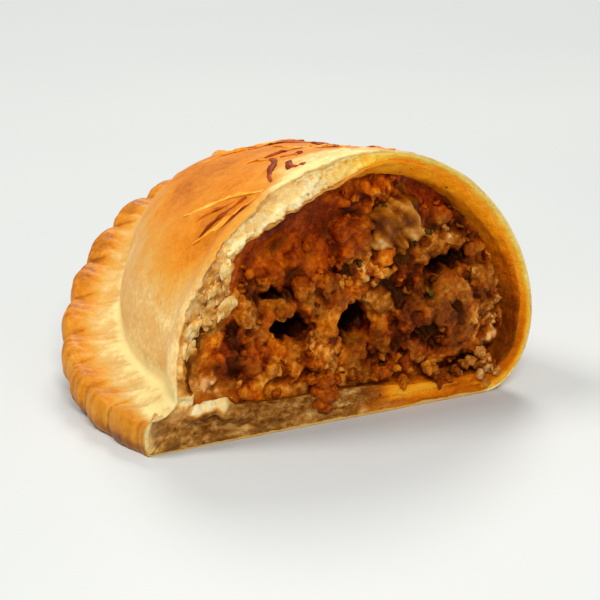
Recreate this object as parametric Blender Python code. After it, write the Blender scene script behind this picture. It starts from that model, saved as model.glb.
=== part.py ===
"""Half of a baked half-moon empanada, cut straight across, with its meat filling showing.

The cut face stands on y = 0 and looks toward -Y. The crimped edge is on the -X side, the fold on
the +X side, and the tip of the half-moon points to +Y. It lies on its flat base at z = 0.
"""
import math
import random

import bmesh
import bpy
from mathutils import Matrix, Vector, noise
from mathutils.bvhtree import BVHTree

# Driving sizes, in metres
WIDTH = 0.0690
LENGTH = 0.0634
HEIGHT = 0.0412
TIP_INSET = 0.0230
CRIMP_BULGE = 0.0046
CRIMP_WIDTH = 0.0090
CRIMP_THICK = 0.0052
RIM_ROUND = 0.0011
TIP_LIFT = 0.0188
TIP_CROWN = 0.0120
BELLY_HEIGHT = 0.0120

FLOOR_DOUGH = 0.0046
EDGE_DOUGH = 0.0024
ROOF_DOUGH = 0.0038
FOLD_DOUGH = 0.0026
CAVITY_END = 0.68

LUMP_PITCH = 0.0090
LUMP_PHASE = -0.20
LUMP_RISE = 0.0013
LUMP_SLANT = 45.0

SHRED_THICK = 0.0010
SHRED_PROUD = 0.0002
SPARE_SHREDS = 12

PIT_DEPTH = 0.0011
LEDGE_SAG = 0.0008

CLEARANCE = 0.0005
ROOF_SHRINK = 0.0009
CRUMBS = 74

# How the slices change on the way from the cut (0) to the tip (1)
PLAN_POWER = 1.04
FOLD_POWER = 1.54
LIFT_FULL_AT = 0.925
LIFT_POWER = 1.77
CURL_FROM = 0.5
LEDGE_AT_CUT = 0.62
LEDGE_FULL_AT = 0.12
CROWN_TAPER = 1.69
CROWN_POWER = 0.79

# Shape of one slice, as shares of its width or outline
LEDGE_MOST = 0.42
CREASE_RISE = 0.45
PEAK_AT = 0.545
FOLD_TURN = 0.13
FLAT_BASE = 0.4
FLAT_TO = 0.0005
LEFT_ROUND = 2 / 1.95
RIGHT_ROUND = 2 / 1.85

# Mesh fineness
OUTER_RINGS = 43
OUTER_END = 0.97
CUT_RINGS = 3
CAVITY_RINGS = 9
FILLING_RINGS = 8
FACE_RINGS = 9
BASE_STEPS = 10
RIM_STEPS = 3
LEDGE_STEPS = 3
DOME_STEPS = 22
TURN_STEPS = 4

# Share of the dome's outline that lies between the crease and the highest point
DOME_SPLIT = 0.55
# Share of the cavity's outline that lies below the level of the crease
LOW_SHARE = 0.03


def smooth(x):
    """Rise from 0 to 1 with level ends."""
    x = min(1.0, max(0.0, x))
    return x * x * (3 - 2 * x)


def crimp_edge(t):
    """Plan of the crimped edge, from the cut (t = 0) round to the tip (t = 1)."""
    turn = t * math.pi / 2
    reach = (WIDTH - TIP_INSET) * math.cos(turn) ** PLAN_POWER + CRIMP_BULGE * math.sin(2 * turn)
    return Vector((-TIP_INSET - reach, LENGTH * math.sin(turn) ** PLAN_POWER))


def fold_edge(t):
    """Plan of the folded side, which bends in toward the same tip."""
    y = LENGTH * t ** FOLD_POWER
    return Vector((-TIP_INSET * (y / LENGTH) ** 2, y))


def crimp_length(t, steps=40):
    """Length of the crimped edge from the cut to t."""
    points = [crimp_edge(t * i / steps) for i in range(steps + 1)]
    return sum((b - a).length for a, b in zip(points, points[1:]))


class Section:
    """One slice of the half-moon, fanned from the cut to the tip.

    Points in a slice are (a, z): a runs from the crimped edge to the fold.
    """

    def __init__(self, t):
        self.edge = crimp_edge(t)
        self.fold = fold_edge(t)
        self.length = crimp_length(t)
        self.width = (self.fold - self.edge).length
        self.edge_up = TIP_LIFT * smooth(t / LIFT_FULL_AT) ** LIFT_POWER
        self.fold_up = self.edge_up * smooth((t - CURL_FROM) / (1 - CURL_FROM))
        grown = LEDGE_AT_CUT + (1 - LEDGE_AT_CUT) * smooth(t / LEDGE_FULL_AT)
        self.ledge = min(CRIMP_WIDTH * grown, LEDGE_MOST * self.width)
        self.crease = self.edge_up + CRIMP_THICK * (1 + CREASE_RISE)
        crown = HEIGHT * (1 - t ** CROWN_TAPER) ** CROWN_POWER
        crown += TIP_CROWN * t * t + 0.35 * self.edge_up
        self.top = max(crown, self.crease + 0.002)
        self.peak = self.ledge + PEAK_AT * (self.width - self.ledge)
        swell = BELLY_HEIGHT * (self.width / WIDTH) ** 0.7
        self.belly = self.fold_up + max(swell, 0.4 * (self.edge_up - self.fold_up) + 0.003)
        self.turn = FOLD_TURN * self.width
        self.lump_share = 0.45 + 0.55 * smooth(t / 0.2)

    def place(self, a, z):
        """World point of (a, z)."""
        spot = self.edge.lerp(self.fold, a / self.width)
        return Vector((spot.x, spot.y, z))

    def lump(self, a):
        """Pinched lumps along the crimp: 1 on a lump, 0 in the groove between two."""
        turns = self.length / LUMP_PITCH + LUMP_PHASE + LUMP_SLANT * a
        return abs(math.sin(math.pi * turns)) ** 0.7

    def base(self, share):
        """Height of the underside, share 0 at the fold and 1 at the crimped edge."""
        curl = smooth((share - FLAT_BASE) / (1 - FLAT_BASE))
        up = self.fold_up + (self.edge_up - self.fold_up) * curl
        return up if up > FLAT_TO else 0.0

    def dome(self, share):
        """Outer dome from the crease (share 0) over the top to the belly of the fold (share 1)."""
        if share < DOME_SPLIT:
            turn = share / DOME_SPLIT * math.pi / 2
            a = self.peak - (self.peak - self.ledge) * math.cos(turn)
            return a, self.crease + (self.top - self.crease) * math.sin(turn) ** LEFT_ROUND
        turn = (1 - share) / (1 - DOME_SPLIT) * math.pi / 2
        a = self.peak + (self.width - self.peak) * math.cos(turn) ** RIGHT_ROUND
        return a, self.belly + (self.top - self.belly) * math.sin(turn) ** RIGHT_ROUND

    def outside(self):
        """Closed outline of the dough, round the base, the rim, the ledge, the dome and the fold."""
        points = []
        inner_end = self.width - self.turn
        for i in range(BASE_STEPS):
            share = i / BASE_STEPS
            points.append((inner_end + (RIM_ROUND / 2 - inner_end) * share, self.base(share)))
        for i in range(RIM_STEPS + 1):
            turn = math.pi * i / RIM_STEPS
            out = self.lump_share * LUMP_RISE * (self.lump(0) - 0.6) * math.sin(turn) ** 0.5
            a = RIM_ROUND * (1 - math.sin(turn)) - out
            points.append((a, self.edge_up + self.ledge_height(0) * (1 - math.cos(turn)) / 2))
        for i in range(1, LEDGE_STEPS + 1):
            share = i / (LEDGE_STEPS + 1)
            a = RIM_ROUND + (self.ledge - RIM_ROUND) * share
            points.append((a, self.edge_up + self.ledge_height(share)))
        for i in range(DOME_STEPS):
            points.append(self.dome(i / DOME_STEPS))
        for i in range(TURN_STEPS):
            turn = i / TURN_STEPS * math.pi / 2
            a = inner_end + self.turn * math.cos(turn)
            points.append((a, self.fold_up + (self.belly - self.fold_up) * (1 - math.sin(turn))))
        return points

    def ledge_height(self, share):
        """Thickness of the crimped ledge, with its lumps, from the rim (0) to the crease (1)."""
        flat = CRIMP_THICK * (1 + CREASE_RISE * share ** 2.5)
        lumps = self.lump(share * self.ledge) - 0.6
        return flat + self.lump_share * LUMP_RISE * lumps * (1 - share ** 2)

    def cavity_roof(self, share, gap):
        """Inner wall and roof, share 0 at the crimp's inner corner and 1 at the fold's belly."""
        low = self.edge_up * 0.6 + self.fold_up * 0.4 + FLOOR_DOUGH + 0.0012 + gap
        corner = self.ledge + EDGE_DOUGH + gap * 1.5
        roof = self.top - ROOF_DOUGH - gap - (ROOF_SHRINK * math.sin(math.pi * share) if gap else 0)
        if share < DOME_SPLIT:
            turn = share / DOME_SPLIT * math.pi / 2
            a = self.peak - (self.peak - corner) * math.cos(turn) ** RIGHT_ROUND
            return a, low + (roof - low) * math.sin(turn) ** RIGHT_ROUND
        turn = (1 - share) / (1 - DOME_SPLIT) * math.pi / 2
        side = self.width - FOLD_DOUGH - gap
        a = self.peak + (side - self.peak) * math.cos(turn) ** RIGHT_ROUND
        return a, self.belly + (roof - self.belly) * math.sin(turn) ** RIGHT_ROUND

    def inside(self, gap=0.0):
        """Closed outline of the cavity, point for point beside the outside, less a gap all round."""
        points = []
        side = self.width - FOLD_DOUGH - gap
        turn_out = self.turn - 0.001
        corner = self.cavity_roof(0, gap)
        for i in range(BASE_STEPS):
            share = i / BASE_STEPS
            a = side - turn_out + (corner[0] - side + turn_out) * share
            level = self.base(share) + FLOOR_DOUGH + gap
            points.append((a, level + (corner[1] - level) * share ** 4))
        low_steps = RIM_STEPS + 1 + LEDGE_STEPS
        for i in range(low_steps):
            points.append(self.cavity_roof(LOW_SHARE * i / low_steps, gap))
        for i in range(DOME_STEPS):
            share = LOW_SHARE + (1 - LOW_SHARE) * i / DOME_STEPS
            points.append(self.cavity_roof(share, gap))
        floor = self.fold_up + FLOOR_DOUGH + gap
        for i in range(TURN_STEPS):
            turn = i / TURN_STEPS * math.pi / 2
            a = side - turn_out + turn_out * math.cos(turn)
            points.append((a, floor + (self.belly - floor) * (1 - math.sin(turn))))
        return points


def loft(name, rings, first_tip, last_tip):
    """Closed skin through rings of equal count, each end closed on a tip point."""
    mesh = bpy.data.meshes.new(name)
    bm = bmesh.new()
    rows = [[bm.verts.new(point) for point in ring] for ring in rings]
    count = len(rows[0])
    for row, after in zip(rows, rows[1:]):
        for i in range(count):
            j = (i + 1) % count
            bm.faces.new((row[i], after[i], after[j], row[j]))
    for tip, row, flip in ((first_tip, rows[0], False), (last_tip, rows[-1], True)):
        point = bm.verts.new(tip)
        for i in range(count):
            j = (i + 1) % count
            bm.faces.new((row[j], row[i], point) if flip else (row[i], row[j], point))
    bmesh.ops.triangulate(bm, faces=bm.faces)
    bmesh.ops.recalc_face_normals(bm, faces=bm.faces)
    bm.to_mesh(mesh)
    bm.free()
    return mesh


def dough(name, colour, roughness):
    material = bpy.data.materials.new(name)
    material.use_nodes = True
    shader = material.node_tree.nodes["Principled BSDF"]
    shader.inputs["Base Color"].default_value = (*colour, 1.0)
    shader.inputs["Roughness"].default_value = roughness
    shader.inputs["Metallic"].default_value = 0.0
    return material


def add_object(name, mesh, collection):
    thing = bpy.data.objects.new(name, mesh)
    collection.objects.link(thing)
    return thing


def middle(points):
    return sum(points, Vector()) / len(points)


def shrunk(points, share, shift):
    centre = middle(points)
    return [centre.lerp(point, share) + shift for point in points]


def torn(point, amount, seed):
    """Crumbly cut dough: the face is pitted inward, never proud of the cut."""
    pit = noise.noise(Vector((point.x, point.z, seed)) * 420) * 0.5 + 0.5
    return point + Vector((0, amount * pit, 0))


def crust_rings():
    """Rings of the crust's skin, from the tip over the outside to the cut, then into the cavity."""
    rings = []
    tip = [Section(OUTER_END).place(a, z) for a, z in Section(OUTER_END).outside()]
    rings.append(shrunk(tip, 0.62, Vector((0, 0.0014, 0))))
    for k in range(OUTER_RINGS):
        section = Section(OUTER_END * (1 - k / (OUTER_RINGS - 1)))
        rings.append([section.place(a, z) for a, z in section.outside()])
    mouth = [torn(Section(0).place(a, z), PIT_DEPTH * 0.4, 5) for a, z in Section(0).inside()]
    outer = rings[-1]
    ledge_end = BASE_STEPS + RIM_STEPS + LEDGE_STEPS + 1
    for k in range(1, CUT_RINGS + 1):
        share = k / (CUT_RINGS + 1)
        ring = []
        for i, (p, q) in enumerate(zip(outer, mouth)):
            point = p.lerp(q, share)
            under_ledge = BASE_STEPS <= i < ledge_end
            point.z -= LEDGE_SAG * math.sin(math.pi * share) if under_ledge else 0.0
            ring.append(torn(point, 0.0002 if under_ledge else PIT_DEPTH, k))
        rings.append(ring)
    rings.append(mouth)
    for k in range(1, CAVITY_RINGS):
        section = Section(CAVITY_END * (k / (CAVITY_RINGS - 1)) ** 1.3)
        rings.append([section.place(a, z) for a, z in section.inside()])
    return rings


def filling_point(t, index):
    section = Section(t)
    return section.place(*section.inside(CLEARANCE)[index])


def filling_start(index, count):
    """Where the filling begins at one point of its outline: deepest under the fold."""
    a, z = Section(0).inside(CLEARANCE)[index]
    depth = 0.0014 + 0.0038 * smooth(a / WIDTH * 1.7 - 0.6) + 0.0012 * smooth(z / HEIGHT * 2 - 0.9)
    low, high = 0.0, 0.4
    for _ in range(20):
        t = (low + high) / 2
        if filling_point(t, index).y < depth:
            low = t
        else:
            high = t
    return high


# Hollows and mounds on the face of the filling: along from the crimp, height, spread, depth
FACE_FORMS = (
    (0.0250, 0.0162, 0.0034, 0.0030),
    (0.0349, 0.0152, 0.0036, 0.0040),
    (0.0500, 0.0222, 0.0040, 0.0030),
    (0.0235, 0.0270, 0.0080, 0.0012),
    (0.0437, 0.0290, 0.0062, -0.0016),
    (0.0540, 0.0150, 0.0080, -0.0018),
    (0.0320, 0.0220, 0.0060, -0.0010),
    (0.0230, 0.0100, 0.0060, -0.0012),
)


def face_relief(point):
    """Depth of the filling's face behind the cut, apart from its rim."""
    along = point.x + WIDTH
    depth = 0.0022
    for a, z, spread, fall in FACE_FORMS:
        depth += fall * math.exp(-((along - a) ** 2 + (point.z - z) ** 2) / spread ** 2)
    depth += 0.0009 * noise.noise(Vector((along, point.z, 2.0)) * 260)
    return max(0.0004, depth)


def filling_rings():
    """Rings of the filling's core, from its deep end to its face."""
    count = len(Section(0).inside())
    starts = [filling_start(i, count) for i in range(count)]
    end = CAVITY_END - 0.06
    rings = []
    for k in range(FILLING_RINGS + 1):
        share = k / FILLING_RINGS
        ring = [filling_point(end + (start - end) * share, i) for i, start in enumerate(starts)]
        rings.append(ring)
    rim = rings[-1]
    centre = middle(rim)
    for k in range(1, FACE_RINGS):
        share = 1 - k / FACE_RINGS
        ring = []
        for point in rim:
            spot = centre.lerp(point, share)
            blend = smooth((1 - share) * 3.5)
            spot.y = point.y * (1 - blend) + face_relief(spot) * blend
            ring.append(spot)
        rings.append(ring)
    centre.y = face_relief(centre)
    return rings, centre


def join_all(thing, pieces):
    """Fuse every piece of a collection onto the thing, then drop the pieces."""
    union = thing.modifiers.new("fused", "BOOLEAN")
    union.operation = "UNION"
    union.operand_type = "COLLECTION"
    union.collection = pieces
    union.solver = "EXACT"
    bpy.context.view_layer.update()
    graph = bpy.context.evaluated_depsgraph_get()
    fused = bpy.data.meshes.new_from_object(thing.evaluated_get(graph))
    thing.modifiers.clear()
    thing.data = fused
    for piece in list(pieces.objects):
        bpy.data.objects.remove(piece)
    bpy.data.collections.remove(pieces)


def new_collection(name):
    collection = bpy.data.collections.new(name)
    bpy.context.scene.collection.children.link(collection)
    return collection


# Cheese shreds that lie on the dome near the cut: start and end as (t, share of the dome), bow
SHREDS = (
    (0.37, 0.44, 0.30, 0.58, 0.04),
    (0.33, 0.47, 0.24, 0.52, -0.03),
    (0.21, 0.50, 0.17, 0.62, 0.03),
    (0.10, 0.56, 0.03, 0.62, 0.02),
    (0.23, 0.43, 0.12, 0.42, -0.02),
    (0.15, 0.46, 0.12, 0.49, 0.00),
    (0.24, 0.28, 0.06, 0.37, 0.03),
    (0.23, 0.27, 0.10, 0.32, -0.02),
    (0.13, 0.24, 0.05, 0.35, 0.02),
    (0.15, 0.22, 0.06, 0.33, 0.02),
    (0.17, 0.22, 0.14, 0.28, -0.01),
)


def dome_spot(t, share):
    section = Section(t)
    return section.place(*section.dome(share))


def shred_path(start_t, start_share, end_t, end_share, bow, steps=4):
    """Points of one shred along the dome, sunk a little into it."""
    points = []
    for i in range(steps + 1):
        way = i / steps
        t = start_t + (end_t - start_t) * way
        share = start_share + (end_share - start_share) * way + bow * math.sin(math.pi * way)
        spot = dome_spot(t, share)
        across = dome_spot(t, share + 0.02) - dome_spot(t, share - 0.02)
        along = dome_spot(t + 0.02, share) - dome_spot(t - 0.02 if t > 0.02 else 0.0, share)
        out = along.cross(across).normalized()
        points.append(spot + out * SHRED_PROUD)
    return points


def spare_shreds():
    """Shreds over the rest of the top, where they fell at random."""
    draw = random.Random(14)
    for _ in range(SPARE_SHREDS):
        t = draw.uniform(0.18, 0.58)
        share = draw.gauss(0.60, 0.13)
        heading = draw.uniform(0, math.pi)
        reach = draw.uniform(0.8, 1.3)
        dt = 0.075 * reach * math.cos(heading)
        ds = 0.085 * reach * math.sin(heading)
        yield t - dt, share - ds, t + dt, share + ds, draw.uniform(-0.03, 0.03)


def shred_mesh(points, name):
    """Round strip along the points."""
    curve = bpy.data.curves.new(name, "CURVE")
    curve.dimensions = "3D"
    curve.bevel_depth = SHRED_THICK / 2
    curve.bevel_resolution = 0
    curve.use_fill_caps = True
    line = curve.splines.new("POLY")
    line.points.add(len(points) - 1)
    for knot, point in zip(line.points, points):
        knot.co = (*point, 1.0)
    holder = bpy.data.objects.new(name, curve)
    bpy.context.scene.collection.objects.link(holder)
    graph = bpy.context.evaluated_depsgraph_get()
    mesh = bpy.data.meshes.new_from_object(holder.evaluated_get(graph))
    bpy.data.objects.remove(holder)
    bm = bmesh.new()
    bm.from_mesh(mesh)
    bmesh.ops.remove_doubles(bm, verts=bm.verts, dist=0.00001)
    bmesh.ops.triangulate(bm, faces=bm.faces)
    bmesh.ops.recalc_face_normals(bm, faces=bm.faces)
    bm.to_mesh(mesh)
    bm.free()
    return mesh


def crumb_mesh(centre, size, draw, name):
    """One lump of minced meat: a twelve-cornered ball pushed out of shape."""
    mesh = bpy.data.meshes.new(name)
    bm = bmesh.new()
    bmesh.ops.create_icosphere(bm, subdivisions=1, radius=1.0)
    stretch = Vector([draw.uniform(0.75, 1.25) for _ in range(3)])
    spin = Matrix.Rotation(draw.uniform(0, math.tau), 3, Vector((draw.gauss(0, 1), draw.gauss(0, 1), 1)))
    for corner in bm.verts:
        grown = corner.co * stretch * draw.uniform(0.85, 1.15)
        corner.co = centre + spin @ grown * size
    bm.to_mesh(mesh)
    bm.free()
    return mesh


def far_from_wall(spot, outline, room):
    """True where a spot on the face keeps some room to the cavity's wall, inside it."""
    flat = Vector((spot.x, spot.z))
    inside = False
    for p, q in zip(outline, outline[1:] + outline[:1]):
        side = q - p
        way = min(1.0, max(0.0, (flat - p).dot(side) / max(side.length_squared, 1e-12)))
        if (p + side * way - flat).length < room:
            return False
        if (p.y > flat.y) != (q.y > flat.y) and flat.x < p.x + side.x * (flat.y - p.y) / side.y:
            inside = not inside
    return inside


def build_crust(collection):
    rings = crust_rings()
    tip = middle(rings[0]) + Vector((0, 0.0006, 0))
    mesh = loft("crust", rings, tip, middle(rings[-1]))
    crust = add_object("crust", mesh, collection)
    pieces = new_collection("shreds")
    for k, shred in enumerate(list(SHREDS) + list(spare_shreds())):
        name = "shred_%02d" % k
        add_object(name, shred_mesh(shred_path(*shred), name), pieces)
    join_all(crust, pieces)
    return crust


def build_filling(collection):
    rings, face_centre = filling_rings()
    mesh = loft("filling", rings, middle(rings[0]), face_centre)
    filling = add_object("filling", mesh, collection)
    outline = [Vector((a - WIDTH, z)) for a, z in Section(0).inside()]
    face = BVHTree.FromPolygons([v.co for v in mesh.vertices], [p.vertices for p in mesh.polygons])
    pieces = new_collection("crumbs")
    draw = random.Random(5)
    made = 0
    while made < CRUMBS:
        size = draw.uniform(0.0011, 0.0024)
        spot = Vector((draw.uniform(-WIDTH, 0), -0.01, draw.uniform(0, HEIGHT)))
        if not far_from_wall(spot, outline, size * 1.35 + 0.0012):
            continue
        hit = face.ray_cast(spot, Vector((0, 1, 0)))[0]
        if hit is None:
            continue
        spot.y = max(hit.y + draw.uniform(0.0, 0.6) * size, size * 1.3)
        name = "crumb_%03d" % made
        add_object(name, crumb_mesh(spot, size, draw, name), pieces)
        made += 1
    join_all(filling, pieces)
    return filling


def finish(thing, material):
    thing.data.materials.clear()
    thing.data.materials.append(material)
    thing.data.shade_smooth()
    thing.data.set_sharp_from_angle(angle=math.radians(40))


def stand_on_origin(things):
    """Move the pieces together so that the middle of their base is at the origin."""
    corners = [vertex.co for thing in things for vertex in thing.data.vertices]
    lows = [min(corner[i] for corner in corners) for i in range(3)]
    highs = [max(corner[i] for corner in corners) for i in range(3)]
    shift = Vector((-(lows[0] + highs[0]) / 2, -(lows[1] + highs[1]) / 2, -lows[2]))
    for thing in things:
        thing.data.transform(Matrix.Translation(shift))


def main():
    for thing in list(bpy.data.objects):
        bpy.data.objects.remove(thing, do_unlink=True)
    empanada = new_collection("empanada_half")
    crust = build_crust(empanada)
    filling = build_filling(empanada)
    finish(crust, dough("baked_dough", (0.78, 0.42, 0.12), 0.45))
    finish(filling, dough("meat_filling", (0.24, 0.06, 0.015), 0.4))
    stand_on_origin([crust, filling])


main()
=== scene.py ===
import math
import random

import bmesh
import bpy
import numpy as np
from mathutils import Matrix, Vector, kdtree, noise


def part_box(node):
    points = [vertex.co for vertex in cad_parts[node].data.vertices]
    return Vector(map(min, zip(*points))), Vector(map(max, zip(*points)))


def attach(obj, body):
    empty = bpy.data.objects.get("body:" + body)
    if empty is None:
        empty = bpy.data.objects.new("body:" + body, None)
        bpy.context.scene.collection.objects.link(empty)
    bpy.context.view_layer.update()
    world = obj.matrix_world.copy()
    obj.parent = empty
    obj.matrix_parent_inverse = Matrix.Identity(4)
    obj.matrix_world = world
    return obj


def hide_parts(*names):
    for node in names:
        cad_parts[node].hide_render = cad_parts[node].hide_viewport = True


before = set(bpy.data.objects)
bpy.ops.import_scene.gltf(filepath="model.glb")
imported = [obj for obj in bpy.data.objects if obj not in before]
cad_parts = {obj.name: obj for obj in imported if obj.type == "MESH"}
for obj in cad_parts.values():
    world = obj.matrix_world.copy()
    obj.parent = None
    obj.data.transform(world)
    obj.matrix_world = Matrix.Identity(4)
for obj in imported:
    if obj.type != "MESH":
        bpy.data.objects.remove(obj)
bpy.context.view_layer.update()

# The half-moon's own sizes in metres, the same as the solids'. The cut face stands on y = 0 of this
# frame, the fold at x = 0 and the tip toward +Y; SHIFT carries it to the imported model's place.
WIDTH = 0.0690
LENGTH = 0.0634
HEIGHT = 0.0412
TIP_INSET = 0.0230
CRIMP_BULGE = 0.0046
CRIMP_WIDTH = 0.0090
CRIMP_THICK = 0.0052
RIM_ROUND = 0.0011
TIP_LIFT = 0.0188
TIP_CROWN = 0.0120
BELLY_HEIGHT = 0.0120
FLOOR_DOUGH = 0.0046
EDGE_DOUGH = 0.0024
ROOF_DOUGH = 0.0038
FOLD_DOUGH = 0.0026
CAVITY_END = 0.68
LUMP_PITCH = 0.0090
LUMP_PHASE = -0.20
LUMP_RISE = 0.0013
LUMP_SLANT = 45.0
OUTER_END = 0.97
DOME_SPLIT = 0.55
LOW_SHARE = 0.03
LIP_DOUGH = 0.0019
DEEP_DOUGH = 0.0052
LIP_EVEN_AT = 0.07

CRUST_LOW, CRUST_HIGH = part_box("crust")
SHIFT = np.array([CRUST_HIGH.x, CRUST_LOW.y, 0.0])

# Points round one slice: base, rim, ledge, dome, fold
SKIN_STEPS = (40, 14, 34, 180, 16)
CUT_STEPS = (230, 24, 34, 500, 40)
FACE_STEPS = (60, 8, 10, 110, 12)
# Rows of points: skin from tip to cut, torn face, wall behind it, face of the filling
SKIN_RINGS = 210
TORN_ROWS = 26
WALL_ROWS = 30
FACE_ROWS = 60

# Where the wall's inner edge departs from an even thickness: along, height, spread, inward
WALL_FORMS = (
    (0.0130, 0.0205, 0.0034, 0.0024),
    (0.0175, 0.0268, 0.0036, -0.0016),
    (0.0205, 0.0300, 0.0040, -0.0012),
    (0.0090, 0.0110, 0.0030, -0.0006),
    (0.0112, 0.0060, 0.0040, 0.0014),
)


# Shape of a slice
def smooth(x):
    """Rise from 0 to 1 with level ends."""
    x = np.clip(x, 0.0, 1.0)
    return x * x * (3 - 2 * x)


def bell(x, middle, spread):
    """1 at the middle, fading to almost nothing two spreads away."""
    return np.exp(-(((x - middle) / spread) ** 2))


def near(along, up, a, z, wide, high):
    """1 at a place on the cut face, fading over a width and a height."""
    return np.exp(-((along - a) / wide) ** 2 - ((up - z) / high) ** 2)


def crimp_edge(t):
    turn = t * math.pi / 2
    reach = (WIDTH - TIP_INSET) * math.cos(turn) ** 1.04 + CRIMP_BULGE * math.sin(2 * turn)
    return np.array([-TIP_INSET - reach, LENGTH * math.sin(turn) ** 1.04])


def fold_edge(t):
    y = LENGTH * t ** 1.54
    return np.array([-TIP_INSET * (y / LENGTH) ** 2, y])


def crimp_length(t, steps=40):
    points = np.array([crimp_edge(t * i / steps) for i in range(steps + 1)])
    return float(np.linalg.norm(np.diff(points, axis=0), axis=1).sum())


def arch(share):
    """Along a dome: whether a point is left of the peak, its rise from 0 to 1 and its run to the peak."""
    left = share < DOME_SPLIT
    turn = np.where(left, share / DOME_SPLIT, (1 - share) / (1 - DOME_SPLIT)) * math.pi / 2
    return left, np.sin(turn), np.clip(np.cos(turn), 0, 1)


def zone_starts(steps):
    """Where the rim, ledge, dome and fold begin among the points round a slice."""
    base, rim, ledge, dome, _ = steps
    ledge_at = base + rim + 1
    return base, ledge_at, ledge_at + ledge, ledge_at + ledge + dome


class Slice:
    """One slice of the half-moon, fanned from the cut (t = 0) to the tip (t = 1).

    Points in a slice are (a, z): a runs from the crimped edge to the fold.
    """

    def __init__(self, t):
        self.t = t
        self.edge = crimp_edge(t)
        self.fold = fold_edge(t)
        self.length = crimp_length(t)
        self.width = float(np.linalg.norm(self.fold - self.edge))
        self.edge_up = TIP_LIFT * smooth(t / 0.925) ** 1.77
        self.fold_up = self.edge_up * smooth((t - 0.5) / 0.5)
        grown = 0.62 + 0.38 * smooth(t / 0.12)
        self.ledge = min(CRIMP_WIDTH * grown, 0.42 * self.width)
        self.crease = self.edge_up + CRIMP_THICK * 1.45
        crown = HEIGHT * (1 - t ** 1.69) ** 0.79 + TIP_CROWN * t * t + 0.35 * self.edge_up
        self.top = max(crown, self.crease + 0.002)
        self.peak = self.ledge + 0.545 * (self.width - self.ledge)
        swell = BELLY_HEIGHT * (self.width / WIDTH) ** 0.7
        self.belly = self.fold_up + max(swell, 0.4 * (self.edge_up - self.fold_up) + 0.003)
        self.turn = 0.13 * self.width
        self.lump_share = 0.45 + 0.55 * smooth(t / 0.2)

    def place(self, a, z):
        way = (np.asarray(a) / self.width)[:, None]
        return np.column_stack((self.edge + (self.fold - self.edge) * way, z))

    def lump(self, a):
        turns = self.length / LUMP_PITCH + LUMP_PHASE + LUMP_SLANT * a
        return np.abs(np.sin(np.pi * turns)) ** 0.7

    def base(self, share):
        return self.fold_up + (self.edge_up - self.fold_up) * smooth((share - 0.4) / 0.6)

    def ledge_height(self, share):
        flat = CRIMP_THICK * (1 + 0.45 * share ** 2.5)
        lumps = self.lump(share * self.ledge) - 0.6
        return flat + self.lump_share * LUMP_RISE * lumps * (1 - share ** 2)

    def dome(self, share):
        left, rise, run = arch(share)
        a = np.where(left, self.peak - (self.peak - self.ledge) * run,
                     self.peak + (self.width - self.peak) * run ** 1.081)
        z = np.where(left, self.crease + (self.top - self.crease) * rise ** 1.0256,
                     self.belly + (self.top - self.belly) * rise ** 1.081)
        return a, z

    def outside(self, steps):
        """Outline of the skin, from the fold's foot along the base and back over the dome."""
        base, rim, ledge, dome, turn = steps
        inner_end = self.width - self.turn
        share = np.arange(base) / base
        a = [inner_end + (RIM_ROUND / 2 - inner_end) * share]
        z = [self.base(share)]
        angle = np.pi * np.arange(rim + 1) / rim
        out = self.lump_share * LUMP_RISE * (self.lump(0.0) - 0.6) * np.abs(np.sin(angle)) ** 0.5
        a.append(RIM_ROUND * (1 - np.sin(angle)) - out)
        z.append(self.edge_up + self.ledge_height(0.0) * (1 - np.cos(angle)) / 2)
        share = np.arange(1, ledge + 1) / (ledge + 1)
        a.append(RIM_ROUND + (self.ledge - RIM_ROUND) * share)
        z.append(self.edge_up + self.ledge_height(share))
        dome_a, dome_z = self.dome(np.arange(dome) / dome)
        angle = np.arange(turn) / turn * math.pi / 2
        a += [dome_a, inner_end + self.turn * np.cos(angle)]
        z += [dome_z, self.fold_up + (self.belly - self.fold_up) * (1 - np.sin(angle))]
        return np.concatenate(a), np.concatenate(z)

    def roof(self, share, gap):
        low = self.edge_up * 0.6 + self.fold_up * 0.4 + FLOOR_DOUGH + 0.0012 + gap
        corner = self.ledge + EDGE_DOUGH + gap * 1.5
        top = self.top - ROOF_DOUGH - gap
        side = self.width - FOLD_DOUGH - gap
        left, rise, run = arch(share)
        rise, run = rise ** 1.081, run ** 1.081
        a = np.where(left, self.peak - (self.peak - corner) * run, self.peak + (side - self.peak) * run)
        z = np.where(left, low + (top - low) * rise, self.belly + (top - self.belly) * rise)
        return a, z

    def inside(self, steps, gap=0.0):
        """Outline of the cavity, point for point beside the outside, less a gap all round."""
        base, rim, ledge, dome, turn = steps
        side = self.width - FOLD_DOUGH - gap
        turn_out = self.turn - 0.001
        corner = self.roof(np.array(0.0), gap)
        share = np.arange(base) / base
        level = self.base(share) + FLOOR_DOUGH + gap
        low_steps = rim + 1 + ledge
        roof_share = np.concatenate((LOW_SHARE * np.arange(low_steps) / low_steps,
                                     LOW_SHARE + (1 - LOW_SHARE) * np.arange(dome) / dome))
        roof_a, roof_z = self.roof(roof_share, gap)
        angle = np.arange(turn) / turn * math.pi / 2
        floor = self.fold_up + FLOOR_DOUGH + gap
        a = np.concatenate((side - turn_out + (corner[0] - side + turn_out) * share, roof_a,
                            side - turn_out + turn_out * np.cos(angle)))
        z = np.concatenate((level + (corner[1] - level) * share ** 4, roof_z,
                            floor + (self.belly - floor) * (1 - np.sin(angle))))
        return self.torn_inward(a, z, steps)

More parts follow.
